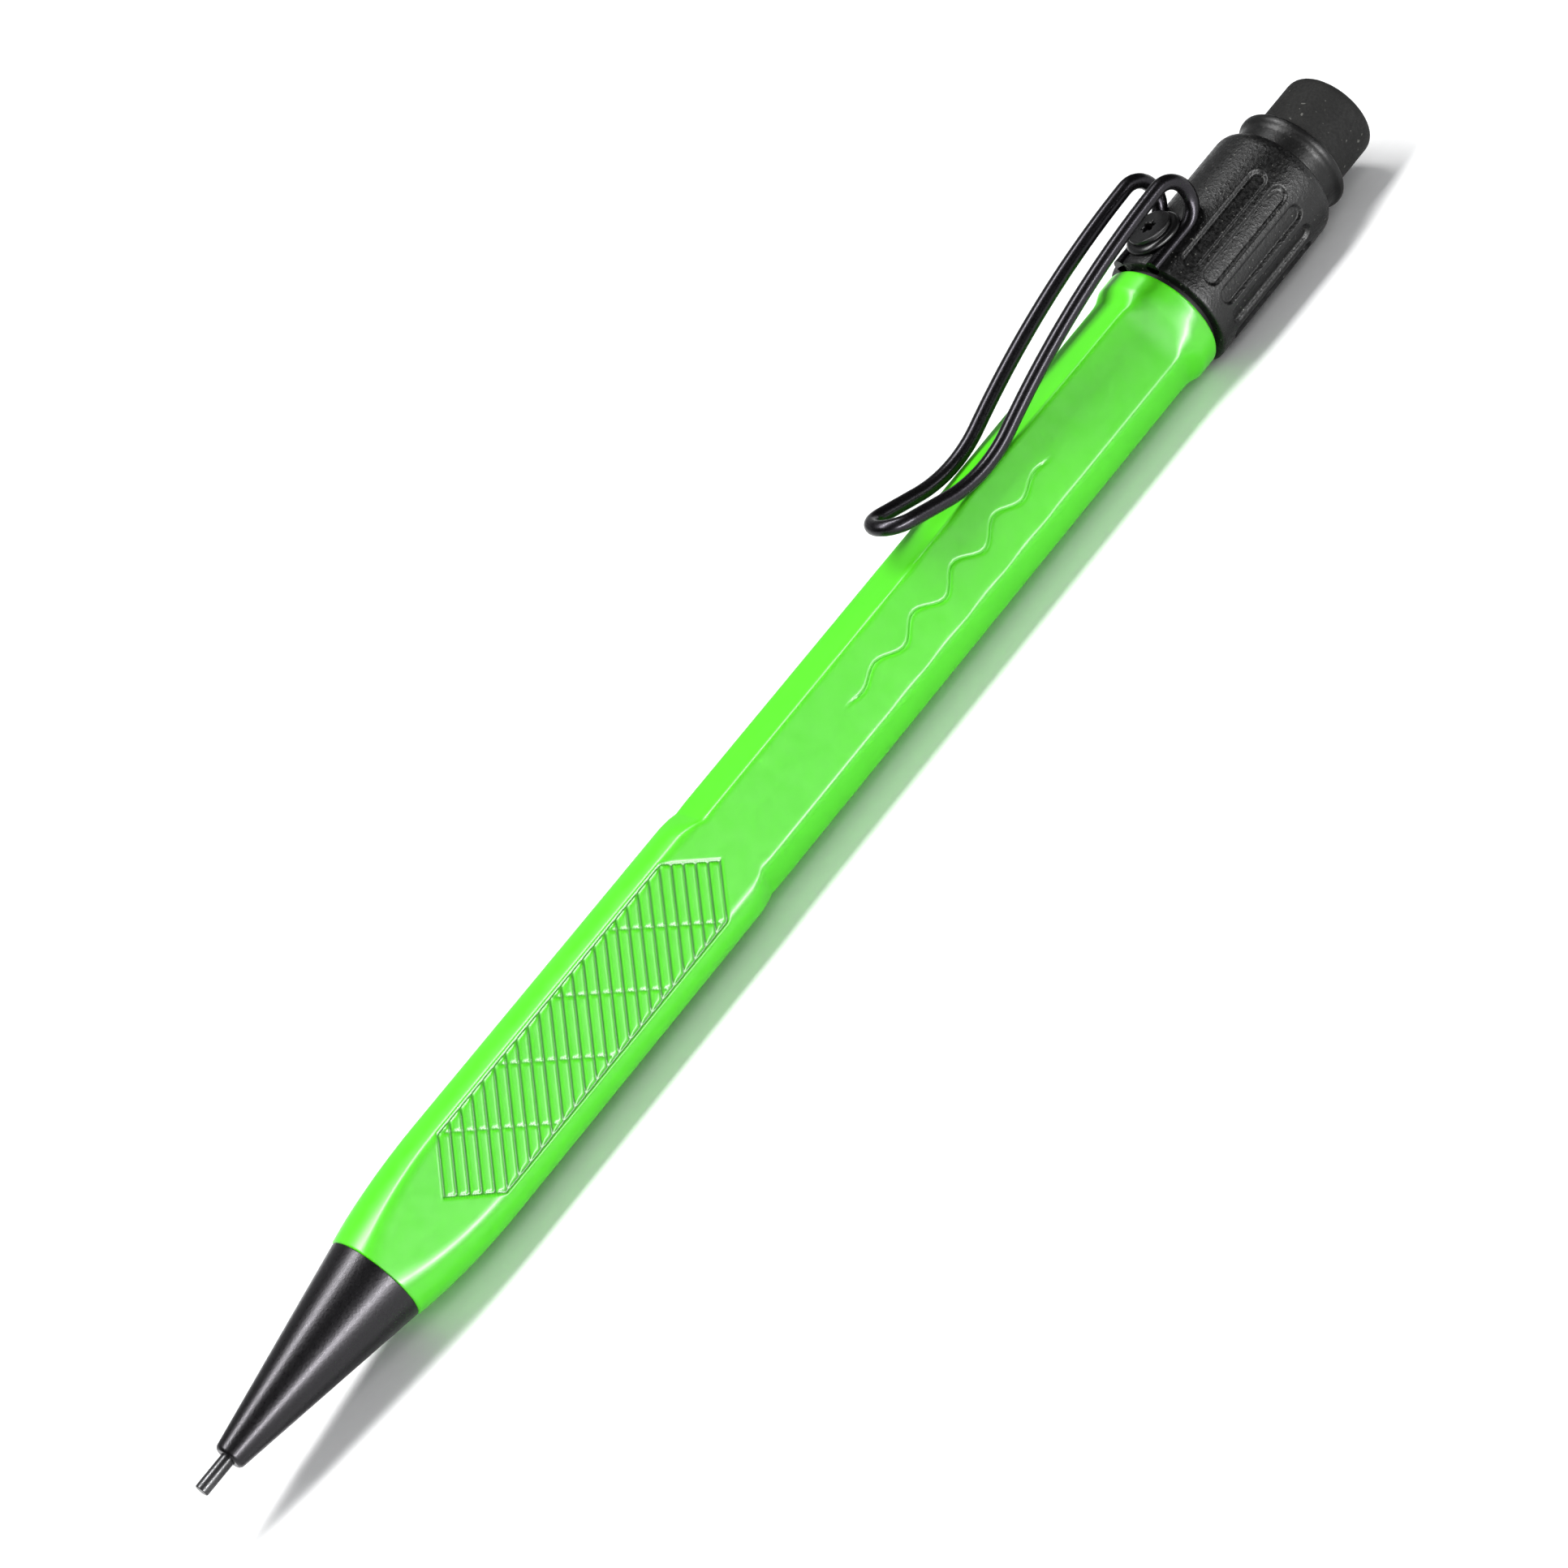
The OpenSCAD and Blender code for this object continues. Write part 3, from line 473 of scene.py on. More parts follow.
def softMin(a, b, soft):
    mix = np.clip(0.5 + 0.5 * (b - a) / soft, 0, 1)
    return b * (1 - mix) + a * mix - soft * mix * (1 - mix)


def smoothStep(t):
    t = np.clip(t, 0, 1)
    return t * t * (3 - 2 * t)


def barrelRadius(along, angle):
    # along: mm from the front of the barrel; angle: from straight up; arrays that broadcast
    s = barrelSizes
    length = (barrelRear - barrelFront) / mm
    rise = s["gripRadius"] - s["frontRadius"]
    arc = (s["flare"] ** 2 + rise ** 2) / (2 * rise)
    left = np.clip(s["flare"] - along, 0, None)
    circle = s["gripRadius"] - arc + np.sqrt(arc ** 2 - left ** 2)
    circle = circle - (s["gripRadius"] - s["cornerRadius"]) * smoothStep((along - s["grip"] + s["drop"]) / s["drop"])
    collarStart = length - s["collar"]
    circle = circle + (s["collarRadius"] - s["cornerRadius"]) * smoothStep((along - collarStart) / s["collarRise"])
    onShaft = smoothStep((along - s["grip"] + s["softRun"] / 2) / s["softRun"])
    soft = s["edgeSoftGrip"] + (s["edgeSoftShaft"] - s["edgeSoftGrip"]) * onShaft
    fade = smoothStep((along - collarStart + s["fadeAhead"]) / s["fade"])
    wide = s["flat"] + fade * (s["collarRadius"] - s["flat"] + s["fadePast"])
    ramp = np.clip(s["grip"] - s["rampGap"] - along, 0, None) * s["rampSlope"]
    climb = smoothStep(np.clip(along - collarStart - s["climbGap"], 0, None) / s["climbRun"]) * s["climb"]
    narrow = s["narrowFlat"] + ramp + climb
    offWide = np.abs((angle + third) % third - third / 2)
    offNarrow = np.abs((angle + third / 2) % third - third / 2)
    radius = softMin(circle, wide / np.cos(offWide), soft + fade * s["fadeSoft"])
    return softMin(radius, narrow / np.cos(offNarrow), soft)


def barrelColumns():
    # angles of the mesh lines: close together on the three wide flats, wider apart between them
    p, s, c = panelSizes, barrelSizes, columnRuns
    across = np.linspace(-p["cellSpan"] / 2, p["cellSpan"] / 2, p["cells"] + 1)
    onFlat = np.arctan(across / s["flat"])
    near = onFlat[-1] + np.radians(c["nearStep"]) * np.arange(1, c["near"] + 1)
    far = np.linspace(near[-1], third / 2, c["far"] + 1)[1:]
    right = np.concatenate([near, far])
    sector = np.concatenate([-right[:-1][::-1], onFlat, right])
    return np.concatenate([sector + firstFlat + k * third for k in range(3)])


def barrelStations():
    # mm from the front: fine over the grip panels and at the shoulders
    p, s = panelSizes, barrelSizes
    length = (barrelRear - barrelFront) / mm
    cell = p["cellSpan"] / p["cells"]
    panelFrom = p["start"] - p["margin"]
    panelTo = panelFrom + cell * round((p["length"] + 2 * p["margin"]) / cell)
    grip, collar = s["grip"], length - s["collar"]
    flare, shoulder, shaft, last = (ringRuns[run] for run in ("flare", "shoulder", "shaft", "collar"))
    return np.concatenate([
        ringRuns["mouth"], np.arange(flare[0], panelFrom - flare[1], flare[2]),
        np.arange(panelFrom, panelTo + cell / 2, cell),
        np.arange(panelTo + shoulder[0], grip + shoulder[1], shoulder[2]),
        np.arange(grip + shaft[0], collar - shaft[1], shaft[2]),
        np.arange(collar - last[0], collar + last[1], last[2]),
        [length - s["rearEdge"] * 2, length - s["rearEdge"]],
    ])


def makeBarrel():
    s, w = barrelSizes, waveSizes
    angles = barrelColumns()
    along = barrelStations()
    length = (barrelRear - barrelFront) / mm
    radius = barrelRadius(along[:, None], angles[None, :])
    for row, inset in enumerate(s["mouth"]):
        radius[row] -= inset
    grid = onAxis(np.broadcast_to(barrelFront + along[:, None] * mm, radius.shape), radius * mm,
                  np.broadcast_to(angles, radius.shape))
    # a plain engraved wave on the flat that faces the camera: its mesh lines follow the wave
    flatTangent = np.array([0, -math.cos(firstFlat), -math.sin(firstFlat)])
    flatNormal = np.array([0, -math.sin(firstFlat), math.cos(firstFlat)])
    share = (along - w["start"]) / w["length"]
    inWave = np.clip(np.sin(np.clip(share, 0, 1) * math.pi), 0, 1) ** 0.5
    swing = w["swing"] * inWave * np.sin(2 * math.pi * (along - w["start"]) / w["period"])
    span = panelSizes["cellSpan"] / 2
    for j in range(len(angles) // 3):
        across = math.tan(angles[j] - firstFlat) * s["flat"]
        if abs(across) > span:
            continue
        hold = (1 - (across / span) ** 2) ** 2
        cut = w["depth"] * np.exp(-(across / (w["groove"] / 2)) ** 2) * smoothStep(inWave * w["gain"] - w["gate"])
        grid[:, j] += (flatTangent[None, :] * (swing * hold)[:, None] - flatNormal[None, :] * cut[:, None]) * mm
    rows = [grid]
    edge = s["rearEdge"]
    for turn in np.radians(ringRuns["endTurns"]):
        x = length - edge * (1 - math.sin(turn))
        inset = edge * (1 - math.cos(turn))
        rows.append(onAxis(np.full(len(angles), barrelFront + x * mm),
                           np.full(len(angles), (s["collarRadius"] - inset) * mm), angles)[None])
    inside = [(length, s["rearBore"]), (length - s["rearBoreLength"], s["rearBore"]),
              (length - s["rearBoreLength"], s["bore"]), (s["frontBoreLength"], s["bore"]),
              (s["frontBoreLength"], s["frontBore"]), (0.0, s["frontBore"])]
    for x, r in inside:
        rows.append(onAxis(np.full(len(angles), barrelFront + x * mm), np.full(len(angles), r * mm), angles)[None])
    grid = np.concatenate(rows)
    return meshObject("barrelShell", grid.reshape(-1, 3), ringFaces(len(grid), len(angles)), 50)


def polarNodes(tree, axis):
    # where a point lies: its x, and its angle and radius round the barrel's axis, as in onAxis
    kind = "ShaderNodeMath"
    place = addNode(tree, "ShaderNodeSeparateXYZ", {0: addNode(tree, "GeometryNodeInputPosition")})
    height = addNode(tree, kind, {0: place.outputs["Z"], 1: axis}, operation="SUBTRACT")
    back = addNode(tree, kind, {0: place.outputs["Y"], 1: -1.0}, operation="MULTIPLY")
    angle = addNode(tree, kind, {0: back, 1: height}, operation="ARCTAN2")
    squareY = addNode(tree, kind, {0: back, 1: back}, operation="MULTIPLY")
    square = addNode(tree, kind, {0: height, 1: height, 2: squareY}, operation="MULTIPLY_ADD")
    return place.outputs["X"], angle, addNode(tree, kind, {0: square}, operation="SQRT")


def sunkNodes(tree, geometry, depth, angle):
    # moves points towards the axis by a depth, square to the surface that faces this angle
    kind = "ShaderNodeMath"
    down = addNode(tree, kind, {0: depth, 1: addNode(tree, kind, {0: angle}, operation="COSINE")},
                   operation="MULTIPLY")
    downward = addNode(tree, kind, {0: down, 1: -1.0}, operation="MULTIPLY")
    sideways = addNode(tree, kind, {0: depth, 1: addNode(tree, kind, {0: angle}, operation="SINE")},
                       operation="MULTIPLY")
    shift = addNode(tree, "ShaderNodeCombineXYZ", {"Y": sideways, "Z": downward})
    return addNode(tree, "GeometryNodeSetPosition", {"Geometry": geometry, "Offset": shift})


def gripRibTree():
    # lowers the flats along slanted grooves, crossing grooves and a border, inside a six-sided panel
    tree, start, end = newTree("grip ribs", {
        "Material": "NodeSocketMaterial", "Axis Height": "NodeSocketFloat", "Flat Distance": "NodeSocketFloat",
        "Panel Start": "NodeSocketFloat", "Panel Length": "NodeSocketFloat", "Half Width": "NodeSocketFloat",
        "Rib Pitch": "NodeSocketFloat", "Rib Groove": "NodeSocketFloat", "Rib Depth": "NodeSocketFloat",
        "Rib Crown": "NodeSocketFloat", "Block Pitch": "NodeSocketFloat", "Cross Groove": "NodeSocketFloat",
        "Cross Depth": "NodeSocketFloat", "Border Groove": "NodeSocketFloat", "Border Depth": "NodeSocketFloat",
        "Shade Name": "NodeSocketString", "Panel Edge": "NodeSocketFloat", "Skin": "NodeSocketFloat",
    })
    given = start.outputs
    kind = "ShaderNodeMath"
    x, angle, radius = polarNodes(tree, given["Axis Height"])
    diagonal = math.sqrt(0.5)  # the ribs, the lines that cross them and the panel's ends all lie at 45 degrees
    # the nearest of the three wide flats
    turns = addNode(tree, kind, {0: addNode(tree, kind, {0: angle, 1: firstFlat}, operation="SUBTRACT"), 1: third},
                    operation="DIVIDE")
    whole = addNode(tree, kind, {0: turns}, operation="ROUND")
    flatAngle = addNode(tree, kind, {0: whole, 1: third, 2: firstFlat}, operation="MULTIPLY_ADD")
    offset = addNode(tree, kind, {0: angle, 1: flatAngle}, operation="SUBTRACT")
    across = addNode(tree, kind, {0: radius, 1: addNode(tree, kind, {0: offset}, operation="SINE")},
                     operation="MULTIPLY")
    out = addNode(tree, kind, {0: radius, 1: addNode(tree, kind, {0: offset}, operation="COSINE")},
                  operation="MULTIPLY")
    along = addNode(tree, kind, {0: x, 1: given["Panel Start"]}, operation="SUBTRACT")
    # how far inside the six-sided border a point is
    side = addNode(tree, kind, {0: across}, operation="ABSOLUTE")
    halfLength = addNode(tree, kind, {0: given["Panel Length"], 1: 0.5}, operation="MULTIPLY")
    fromMiddle = addNode(tree, kind, {0: addNode(tree, kind, {0: along, 1: halfLength}, operation="SUBTRACT")},
                         operation="ABSOLUTE")
    toSide = addNode(tree, kind, {0: given["Half Width"], 1: side}, operation="SUBTRACT")
    used = addNode(tree, kind, {0: fromMiddle, 1: side}, operation="ADD")
    toEnd = addNode(tree, kind, {0: addNode(tree, kind, {0: halfLength, 1: used}, operation="SUBTRACT"),
                                 1: diagonal}, operation="MULTIPLY")
    inside = addNode(tree, kind, {0: toSide, 1: toEnd}, operation="MINIMUM")
    # distance from the nearest groove, for the ribs and for the lines that cross them
    depths = []
    for operation, pitch, groove, depth in (("ADD", "Rib Pitch", "Rib Groove", "Rib Depth"),
                                            ("SUBTRACT", "Block Pitch", "Cross Groove", "Cross Depth")):
        slant = addNode(tree, kind, {0: along, 1: across}, operation=operation)
        straight = addNode(tree, kind, {0: slant, 1: diagonal}, operation="MULTIPLY")
        halfPitch = addNode(tree, kind, {0: given[pitch], 1: diagonal / 2}, operation="MULTIPLY")
        away = addNode(tree, kind, {0: straight, 1: halfPitch}, operation="PINGPONG")
        cut = addNode(tree, "ShaderNodeMapRange",
                      {"Value": away, "From Min": 0.0, "From Max": given[groove], "To Min": given[depth],
                       "To Max": 0.0}, interpolation_type="SMOOTHSTEP")
        depths.append(cut)
        if operation == "ADD":
            # each rib is slightly crowned between its grooves
            dome = addNode(tree, kind, {0: addNode(tree, kind, {0: away, 1: halfPitch}, operation="DIVIDE"), 1: 1.0},
                           operation="SUBTRACT")
            domeSquare = addNode(tree, kind, {0: dome, 1: dome}, operation="MULTIPLY")
            crown = addNode(tree, kind, {0: domeSquare, 1: given["Rib Crown"]}, operation="MULTIPLY")
    ribs = addNode(tree, kind, {0: depths[0], 1: crown}, operation="ADD")
    field = addNode(tree, kind, {0: ribs, 1: depths[1]}, operation="MAXIMUM")
    isInside = addNode(tree, "ShaderNodeMapRange", {"Value": inside, "From Min": 0.0,
                                                    "From Max": given["Panel Edge"]},
                       interpolation_type="SMOOTHSTEP")
    field = addNode(tree, kind, {0: field, 1: isInside}, operation="MULTIPLY")
    fromBorder = addNode(tree, kind, {0: inside}, operation="ABSOLUTE")
    border = addNode(tree, "ShaderNodeMapRange",
                     {"Value": fromBorder, "From Min": 0.0, "From Max": given["Border Groove"],
                      "To Min": given["Border Depth"], "To Max": 0.0}, interpolation_type="SMOOTHSTEP")
    field = addNode(tree, kind, {0: field, 1: border}, operation="MAXIMUM")
    nearFlat = addNode(tree, kind, {0: addNode(tree, kind, {0: given["Flat Distance"], 1: given["Skin"]},
                                               operation="SUBTRACT"), 1: out}, operation="LESS_THAN")
    depth = addNode(tree, kind, {0: field, 1: nearFlat}, operation="MULTIPLY")
    moved = sunkNodes(tree, given["Geometry"], depth, flatAngle)
    # the deeper a point lies, the stronger the painted shade stored for the lacquer there; the crown of a rib doesn't
    # count
    shade = addNode(tree, "ShaderNodeMapRange",
                    {"Value": depth, "From Min": given["Rib Crown"], "From Max": given["Border Depth"]})
    marked = addNode(tree, "GeometryNodeStoreNamedAttribute",
                     {"Geometry": moved, "Name": given["Shade Name"], "Value": shade}, data_type="FLOAT")
    closeTree(tree, start, end, marked)
    return tree


def addBarrel():
    p = panelSizes
    shell = applyTree(makeBarrel(), gripRibTree(), {
        "Material": finishes["green"], "Axis Height": axisHeight, "Flat Distance": barrelSizes["flat"] * mm,
        "Panel Start": barrelFront + p["start"] * mm, "Panel Length": p["length"] * mm,
        "Half Width": p["halfWidth"] * mm, "Rib Pitch": p["length"] / p["ribs"] * mm,
        "Rib Groove": p["ribGroove"] * mm, "Rib Depth": p["ribDepth"] * mm, "Rib Crown": p["crown"] * mm,
        "Block Pitch": p["length"] / p["blocks"] * mm, "Cross Groove": p["crossGroove"] * mm,
        "Cross Depth": p["crossDepth"] * mm, "Border Groove": p["borderGroove"] * mm,
        "Border Depth": p["borderDepth"] * mm, "Shade Name": "groove", "Panel Edge": p["edge"] * mm,
        "Skin": p["skin"] * mm,
    })
    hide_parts("barrel")
    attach(shell, "body")


addBarrel()
print("barrel made")


sleeveSizes = {  # mm
    "frontEdge": 0.25, "rearRound": 1.35, "spigotRadius": 3.88, "guideRadius": 3.05, "buttonRadius": 5.28,
    "rearLip": 0.12, "buttonBore": 8.9, "fluteWidth": 1.65, "fluteDepth": 0.42, "fluteInset": 1.8,
    "fluteRear": 3.7, "fluteEdge": 0.07, "fluteStep": 22.5, "firstFlute": 2, "skin": 0.3, "cell": 0.125,
    "firstCell": 0.3, "roundSteps": 16,
}


def makeSleeve():
    s = sleeveSizes
    radius = (sleeveHigh.y - sleeveLow.y) / 2 / mm
    front, rear, spigot = sleeveFront / mm, sleeveHigh.x / mm, sleeveLow.x / mm
    path = [(front, s["spigotRadius"]), (front, radius - s["frontEdge"])]
    for turn in np.radians([30, 60, 90]):
        path.append((front + s["frontEdge"] * (1 - math.cos(turn)), radius - s["frontEdge"] * (1 - math.sin(turn))))
    for x in np.arange(front + s["frontEdge"] + s["firstCell"], rear - s["rearRound"], s["cell"]):
        path.append((x, radius))
    lip = s["buttonRadius"] + s["rearLip"]
    for turn in np.radians(np.linspace(0, 90, s["roundSteps"])):
        path.append((rear - s["rearRound"] * (1 - math.sin(turn)), lip + (radius - lip) * math.cos(turn)))
    path += [(rear - s["rearLip"], s["buttonRadius"]), (rear - s["buttonBore"], s["buttonRadius"]),
             (rear - s["buttonBore"], s["guideRadius"]), (spigot, s["guideRadius"]), (spigot, s["spigotRadius"])]
    columns = int(2 * math.pi * radius / s["cell"])
    angles = np.linspace(0, 2 * math.pi, columns, endpoint=False)
    rows = [onAxis(np.full(columns, x * mm), np.full(columns, r * mm), angles) for x, r in path]
    return meshObject("endSleeve", np.concatenate(rows), ringFaces(len(rows), columns), 50)


def fluteTree():
    # sinks round-ended grooves into a cylinder, evenly round it, leaving out those next to the clip
    tree, start, end = newTree("sleeve grooves", {
        "Material": "NodeSocketMaterial", "Axis Height": "NodeSocketFloat", "Surface Radius": "NodeSocketFloat",
        "Step Angle": "NodeSocketFloat", "First Groove": "NodeSocketFloat", "Middle": "NodeSocketFloat",
        "Straight Half": "NodeSocketFloat", "Half Width": "NodeSocketFloat", "Edge": "NodeSocketFloat",
        "Depth": "NodeSocketFloat", "Skin": "NodeSocketFloat",
    })
    given = start.outputs
    kind = "ShaderNodeMath"
    x, angle, radius = polarNodes(tree, given["Axis Height"])
    count = addNode(tree, kind, {0: addNode(tree, kind, {0: angle, 1: given["Step Angle"]}, operation="DIVIDE")},
                    operation="ROUND")
    off = addNode(tree, kind, {0: angle, 1: addNode(tree, kind, {0: count, 1: given["Step Angle"]},
                                                    operation="MULTIPLY")}, operation="SUBTRACT")
    across = addNode(tree, kind, {0: off, 1: given["Surface Radius"]}, operation="MULTIPLY")
    along = addNode(tree, kind, {0: addNode(tree, kind, {0: x, 1: given["Middle"]}, operation="SUBTRACT")},
                    operation="ABSOLUTE")
    past = addNode(tree, kind, {0: addNode(tree, kind, {0: along, 1: given["Straight Half"]},
                                           operation="SUBTRACT"), 1: 0.0}, operation="MAXIMUM")
    pastSquare = addNode(tree, kind, {0: past, 1: past}, operation="MULTIPLY")
    square = addNode(tree, kind, {0: across, 1: across, 2: pastSquare}, operation="MULTIPLY_ADD")
    away = addNode(tree, kind, {0: addNode(tree, kind, {0: square}, operation="SQRT"), 1: given["Half Width"]},
                   operation="SUBTRACT")
    inner = addNode(tree, kind, {0: given["Edge"], 1: -1.0}, operation="MULTIPLY")
    cut = addNode(tree, "ShaderNodeMapRange",
                  {"Value": away, "From Min": inner, "From Max": given["Edge"], "To Min": given["Depth"],
                   "To Max": 0.0}, interpolation_type="SMOOTHSTEP")
    number = addNode(tree, kind, {0: count}, operation="ABSOLUTE")
    early = addNode(tree, kind, {0: given["First Groove"], 1: 0.5}, operation="SUBTRACT")
    allowed = addNode(tree, kind, {0: number, 1: early}, operation="GREATER_THAN")
    skin = addNode(tree, kind, {0: given["Surface Radius"], 1: given["Skin"]}, operation="SUBTRACT")
    outside = addNode(tree, kind, {0: radius, 1: skin}, operation="GREATER_THAN")
    depth = addNode(tree, kind, {0: addNode(tree, kind, {0: cut, 1: allowed}, operation="MULTIPLY"), 1: outside},
                    operation="MULTIPLY")
    closeTree(tree, start, end, sunkNodes(tree, given["Geometry"], depth, angle))
    return tree


def addSleeve():
    s = sleeveSizes
    first = sleeveFront + s["fluteInset"] * mm
    last = sleeveHigh.x - s["fluteRear"] * mm
    sleeve = applyTree(makeSleeve(), fluteTree(), {
        "Material": finishes["sleeve"], "Axis Height": axisHeight,
        "Surface Radius": (sleeveHigh.y - sleeveLow.y) / 2, "Step Angle": math.radians(s["fluteStep"]),
        "First Groove": float(s["firstFlute"]), "Middle": (first + last) / 2,
        "Straight Half": (last - first - s["fluteWidth"] * mm) / 2, "Half Width": s["fluteWidth"] / 2 * mm,
        "Edge": s["fluteEdge"] * mm, "Depth": s["fluteDepth"] * mm, "Skin": s["skin"] * mm,
    })
    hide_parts("end_sleeve")
    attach(sleeve, "body")


addSleeve()
print("sleeve made")


clipSizes = {  # mm and degrees
    "wire": 1.45, "gap": 4.45, "legHeight": 5.55, "leg": 5.1, "bend": 2.465, "armSlope": 1.0, "armCurve": 100.0,
    "dipSlope": 16.0, "contactCurve": 14.0, "contactHeight": 5.845, "tipSlope": 20.5, "tipRun": 4.2, "sides": 20,
    "flexRise": 2.9, "flexLean": 0.3,  # the root bend's height and forward lean
    "legPoints": 12, "runPoints": 14, "tipPoints": 6, "bendPoints": 29,  # along each run of the wire
    "bendSpacing": 0.25, "curveSpacing": 0.8, "contactSpacing": 0.4,
}


def arc(centre, radius, first, last, spacing):
    # points on an arc seen from the side: angle 0 points to the eraser, 90 up
    count = max(3, int(abs(math.radians(last - first)) * radius / spacing))
    turns = np.radians(np.linspace(first, last, count + 1))
    return np.stack([centre[0] + radius * np.cos(turns), centre[1] + radius * np.sin(turns)], axis=-1)


def clipPath():
    # one side of the wire, from its cut end at the sleeve to the start of the tip bend: (x, height over the axis)
    c = clipSizes
    front = sleeveFront / mm
    root = np.array([front + c["leg"], c["legHeight"] + c["bend"]])
    leg = np.linspace(front, root[0], c["legPoints"])[:-1]
    path = [np.stack([leg, np.full(len(leg), c["legHeight"])], axis=-1)]
    path.append(arc(root, c["bend"], -90, 90 + c["armSlope"], c["bendSpacing"])[:-1])
    turn = math.radians(90 + c["armSlope"])
    top = root + c["bend"] * np.array([math.cos(turn), math.sin(turn)])
    centre = top - c["armCurve"] * np.array([math.cos(turn), math.sin(turn)])
    curve = arc(centre, c["armCurve"], 90 + c["armSlope"], 90 + c["dipSlope"], c["curveSpacing"])
    path.append(curve)
    dip, tip = math.radians(c["dipSlope"]), math.radians(c["tipSlope"])
    drop = curve[-1][1] - c["contactHeight"] - c["contactCurve"] * (1 - math.cos(dip))
    run = drop / math.sin(dip)
    low = curve[-1] - run * np.array([math.cos(dip), math.sin(dip)])
    path.append(np.linspace(curve[-1], low, c["runPoints"])[1:-1])
    centre = low + c["contactCurve"] * np.array([-math.sin(dip), math.cos(dip)])
    contact = arc(centre, c["contactCurve"], 270 + c["dipSlope"], 270 - c["tipSlope"],
                  c["contactSpacing"])
    path.append(contact)
    lift = np.array([-math.cos(tip), math.sin(tip)])
    path.append(contact[-1] + np.linspace(0, c["tipRun"], c["tipPoints"])[1:, None] * lift)
    return np.concatenate(path), lift


def wireTree():
    # a round wire along a line of edges
    tree, start, end = newTree("bent wire", {
        "Material": "NodeSocketMaterial", "Wire Radius": "NodeSocketFloat", "Sides": "NodeSocketInt",
    })
    line = addNode(tree, "GeometryNodeMeshToCurve", {"Mesh": start.outputs["Geometry"]})
    section = addNode(tree, "GeometryNodeCurvePrimitiveCircle",
                      {"Resolution": start.outputs["Sides"], "Radius": start.outputs["Wire Radius"]})
    tube = addNode(tree, "GeometryNodeCurveToMesh",
                   {"Curve": line, "Profile Curve": section.outputs["Curve"], "Fill Caps": True})
    soft = addNode(tree, "GeometryNodeSetShadeSmooth", {"Geometry": tube})
    closeTree(tree, start, end, soft)
    return tree


def addClip():
    c = clipSizes
    side, lift = clipPath()
    half = c["gap"] / 2
    turns = np.radians(np.linspace(0, 180, c["bendPoints"]))[1:-1]
    bendPoints = [(side[-1] + lift * half * math.sin(t), -half * math.cos(t)) for t in turns]
    line = [(x, -half, h) for x, h in side]
    line += [(p[0], y, p[1]) for p, y in bendPoints]
    line += [(x, half, h) for x, h in side[::-1]]
    points = [(x * mm, y * mm, axisHeight + h * mm) for x, y, h in line]
    mesh = bpy.data.meshes.new("clipWire")
    mesh.from_pydata(points, [(i, i + 1) for i in range(len(points) - 1)], [])
    wire = bpy.data.objects.new("clipWire", mesh)
    bpy.context.scene.collection.objects.link(wire)
    applyTree(wire, wireTree(), {"Material": finishes["wire"], "Wire Radius": c["wire"] / 2 * mm,
                                 "Sides": c["sides"]})
    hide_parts("clip_anchor", "clip_arm")
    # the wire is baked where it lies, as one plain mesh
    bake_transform(wire)


addClip()
print("clip made")


def addTurned(name, node, body, finish, outline, columns, closed=False, steps=5):
    piece = turned(name, outline, columns, closed, steps)
    piece.data.materials.append(finishes[finish])
    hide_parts(node)
    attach(piece, body)


def mmBox(node):
    # front, rear and radius of a turned node
    low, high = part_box(node)
    return low.x / mm, high.x / mm, (high.y - low.y) / 2 / mm


coneSizes = {  # mm
    "lip": 0.22, "tipRadius": 1.36, "baseRadius": 4.56, "hole": 0.70, "spigot": 3.72, "holeDepth": 2.8,
    "tipFlare": 0.03, "spigotWall": 0.62, "bore": 1.26, "boreEnd": 8.6, "chamber": 2.9, "chamberStart": 13.6,
    "spigotEdge": 0.15, "baseEdge": 0.10, "tipEdge": 0.18, "mouthEdge": 0.10, "holeEdge": 0.04, "columns": 128,
}


def addCone():
    c = coneSizes
    front, rear, _ = mmBox("nose_cone")
    base, floor = barrelFront / mm, front + c["holeDepth"]
    addTurned("noseCone", "nose_cone", "body", "cone", [
        (front + c["chamberStart"], c["chamber"], 0), (front + c["boreEnd"], c["bore"], 0), (floor, c["bore"], 0),
        (floor, c["hole"], 0), (front, c["hole"], c["holeEdge"]),
        (front, c["tipRadius"] - c["lip"], c["mouthEdge"]),
        (front + c["lip"], c["tipRadius"] + c["tipFlare"], c["tipEdge"]), (base, c["baseRadius"], c["baseEdge"]),
        (base, c["spigot"], 0), (rear, c["spigot"], c["spigotEdge"]), (rear, c["spigot"] - c["spigotWall"], 0),
    ], c["columns"], closed=True)


leadSizes = {"tipInset": 0.02, "tipEdge": 0.12, "worn": 0.35, "wornEdge": 0.1, "rearEdge": 0.05, "columns": 48}  # mm


def addLead():
    s = leadSizes
    front, rear, radius = mmBox("lead")
    addTurned("writingLead", "lead", "working_lead", "lead", [
        (front, 0, 0), (front, radius - s["tipInset"], s["tipEdge"]), (front + s["worn"], radius, s["wornEdge"]),
        (rear, radius, s["rearEdge"]), (rear, 0, 0)], s["columns"])


eraserSizes = {  # mm
    "shankGap": 0.2, "shankEdge": 0.2, "step": 0.05, "stepEdge": 0.02, "crown": 3.0, "crownEdge": 0.5,
    "rearEdge": 1.1, "columns": 128, "edgeSteps": 9,
}


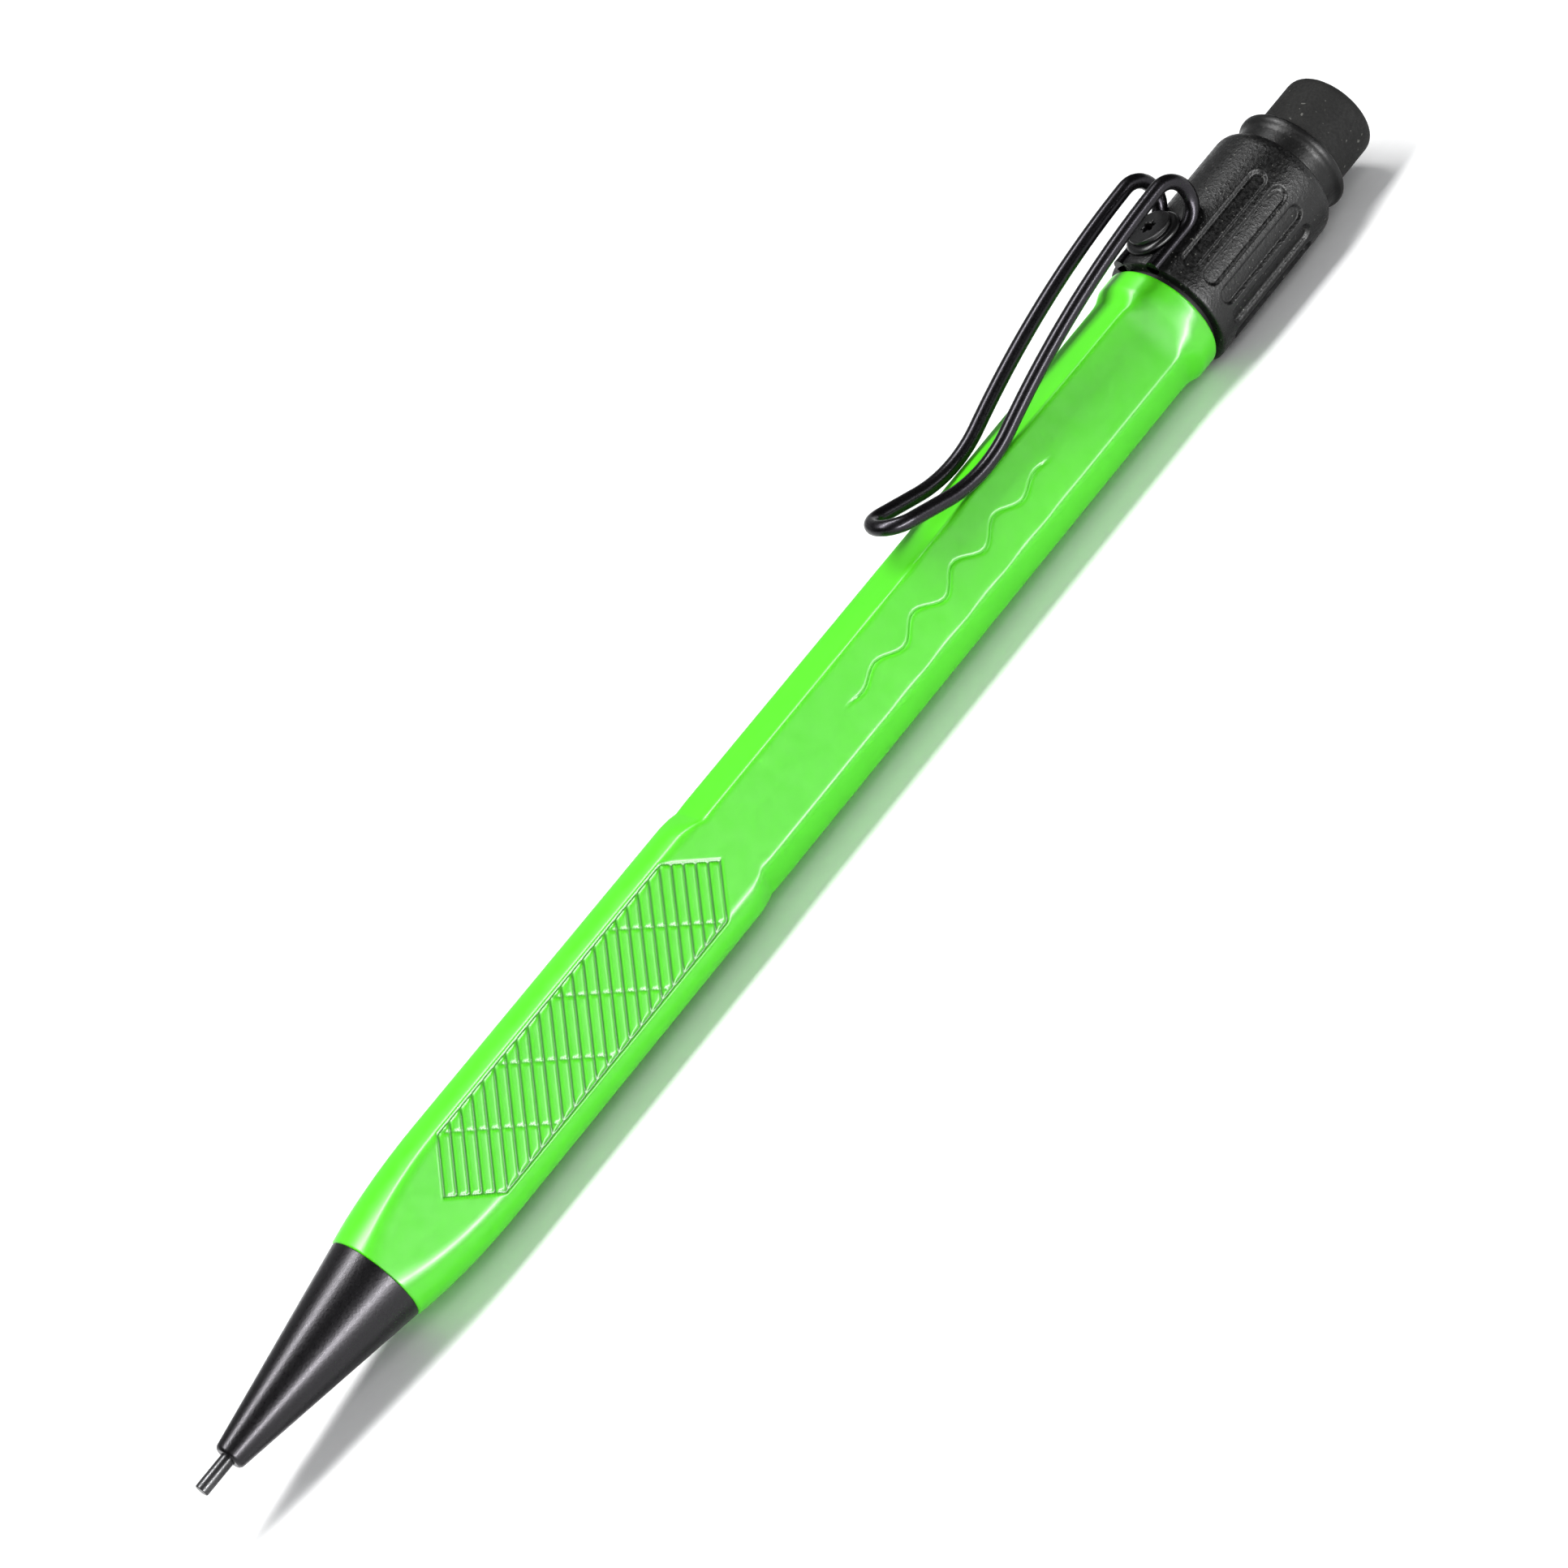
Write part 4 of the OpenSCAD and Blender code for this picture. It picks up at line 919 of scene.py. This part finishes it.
def addEraserEnd():
    s = eraserSizes
    front, rear, radius = mmBox("eraser")
    held, show = radius - s["shankGap"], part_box("eraser_holder")[1].x / mm
    addTurned("eraserPlug", "eraser", "eraser_plug", "eraser", [
        (front, 0, 0), (front, held, s["shankEdge"]), (show, held, s["stepEdge"]),
        (show + s["step"], radius, s["stepEdge"]), (rear - s["crown"], radius, s["crownEdge"]),
        (rear, radius, s["rearEdge"]), (rear, 0, 0)], s["columns"], steps=s["edgeSteps"])


holderSizes = {  # mm
    "neck": 5.24, "flange": 5.66, "flangeLength": 0.8, "cove": 0.45, "rim": 0.20, "bevel": 0.30, "socket": 4.46,
    "socketDepth": 5.4, "tubeRadius": 2.9, "tubeDepth": 2.8, "skirtWall": 0.75, "boss": 3.7,
    "bossLength": 2.4, "skirtEdge": 0.3, "coveEdge": 0.3, "bevelEdge": 0.15, "rimInset": 0.42, "rimEdge": 0.12,
    "mouthEdge": 0.1, "columns": 128,
}


def addHolder():
    h = holderSizes
    front, rear, _ = mmBox("eraser_holder")
    flange, floor = rear - h["flangeLength"], rear - h["socketDepth"]
    bossFloor, skirt = front + h["bossLength"], h["neck"] - h["skirtWall"]
    addTurned("eraserHolder", "eraser_holder", "plunger", "holder", [
        (front, skirt, 0), (front, h["neck"], h["skirtEdge"]), (flange - h["cove"], h["neck"], h["coveEdge"]),
        (flange, h["flange"], h["rim"]), (rear - h["bevel"], h["flange"], h["bevelEdge"]),
        (rear, h["flange"] - h["rimInset"], h["rimEdge"]), (rear, h["socket"], h["mouthEdge"]),
        (floor, h["socket"], 0), (floor, 0.0, 0), (front + h["tubeDepth"], 0.0, 0),
        (front + h["tubeDepth"], h["tubeRadius"], 0), (front, h["tubeRadius"], 0), (front, h["boss"], 0),
        (bossFloor, h["boss"], 0), (bossFloor, skirt, 0),
    ], h["columns"], closed=True)


screwSizes = {  # mm
    # the head's outline: height over its seat, radius and fillet; a rounded skirt, then a groove under the disc
    "head": [(0.0, 2.5, 0.05), (0.12, 2.75, 0.12), (0.372, 2.75, 0.22), (0.62, 2.45, 0.12), (0.62, 2.02, 0.05),
             (0.70, 2.02, 0.02), (0.74, 2.14, 0.03)],
    "disc": 2.14, "discEdge": 0.10, "discFlat": 0.6, "shank": 1.0, "shankEdge": 0.1, "socket": 0.66, "lobe": 0.13,
    "lobes": 6, "socketDepth": 0.75, "chamfer": (0.06, 0.05), "socketFloor": 0.15, "columns": 96,
}


def addScrew():
    # a pan head with a flat disc on top and a six-lobe socket in it
    c = screwSizes
    low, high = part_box("clip_screw")
    centreX = (low.x + high.x) / 2 / mm
    seat, top = sleeveHigh.z / mm, high.z / mm
    angles = np.linspace(0, 2 * math.pi, c["columns"], endpoint=False)
    outline = rounded([
        (low.z / mm, 0, 0), (low.z / mm, c["shank"], c["shankEdge"]), (seat, c["shank"], 0),
        *((seat + rise, r, fillet) for rise, r, fillet in c["head"]),
        (top, c["disc"], c["discEdge"]), (top, c["disc"] - c["discFlat"], 0),
    ])
    lobes = c["socket"] + c["lobe"] * np.cos(c["lobes"] * angles)
    rows = [(z, np.full(len(angles), r)) for z, r in outline[1:]]
    widened, chamfer = c["chamfer"]
    rows += [(top, lobes + widened), (top - chamfer, lobes), (top - c["socketDepth"], lobes)]
    points = [(centreX * mm, 0, low.z)]
    for z, radii in rows:
        points.extend(np.stack([centreX + radii * np.cos(angles), radii * np.sin(angles),
                                np.full(len(angles), z)], axis=-1) * mm)
    points.append((centreX * mm, 0, (top - c["socketDepth"] - c["socketFloor"]) * mm))
    faces = []
    count = len(angles)
    for j in range(count):
        k = (j + 1) % count
        faces.append((0, 1 + k, 1 + j))
        faces.append((len(points) - 1, 1 + (len(rows) - 1) * count + j, 1 + (len(rows) - 1) * count + k))
        for i in range(len(rows) - 1):
            here, there = 1 + i * count, 1 + (i + 1) * count
            faces.append((here + j, here + k, there + k, there + j))
    screw = meshObject("clipScrew", points, faces, 40)
    screw.data.materials.append(finishes["screw"])
    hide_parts("clip_screw")
    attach(screw, "body")


addCone()
addLead()
addHolder()
addScrew()
addEraserEnd()
print("turned pieces made")
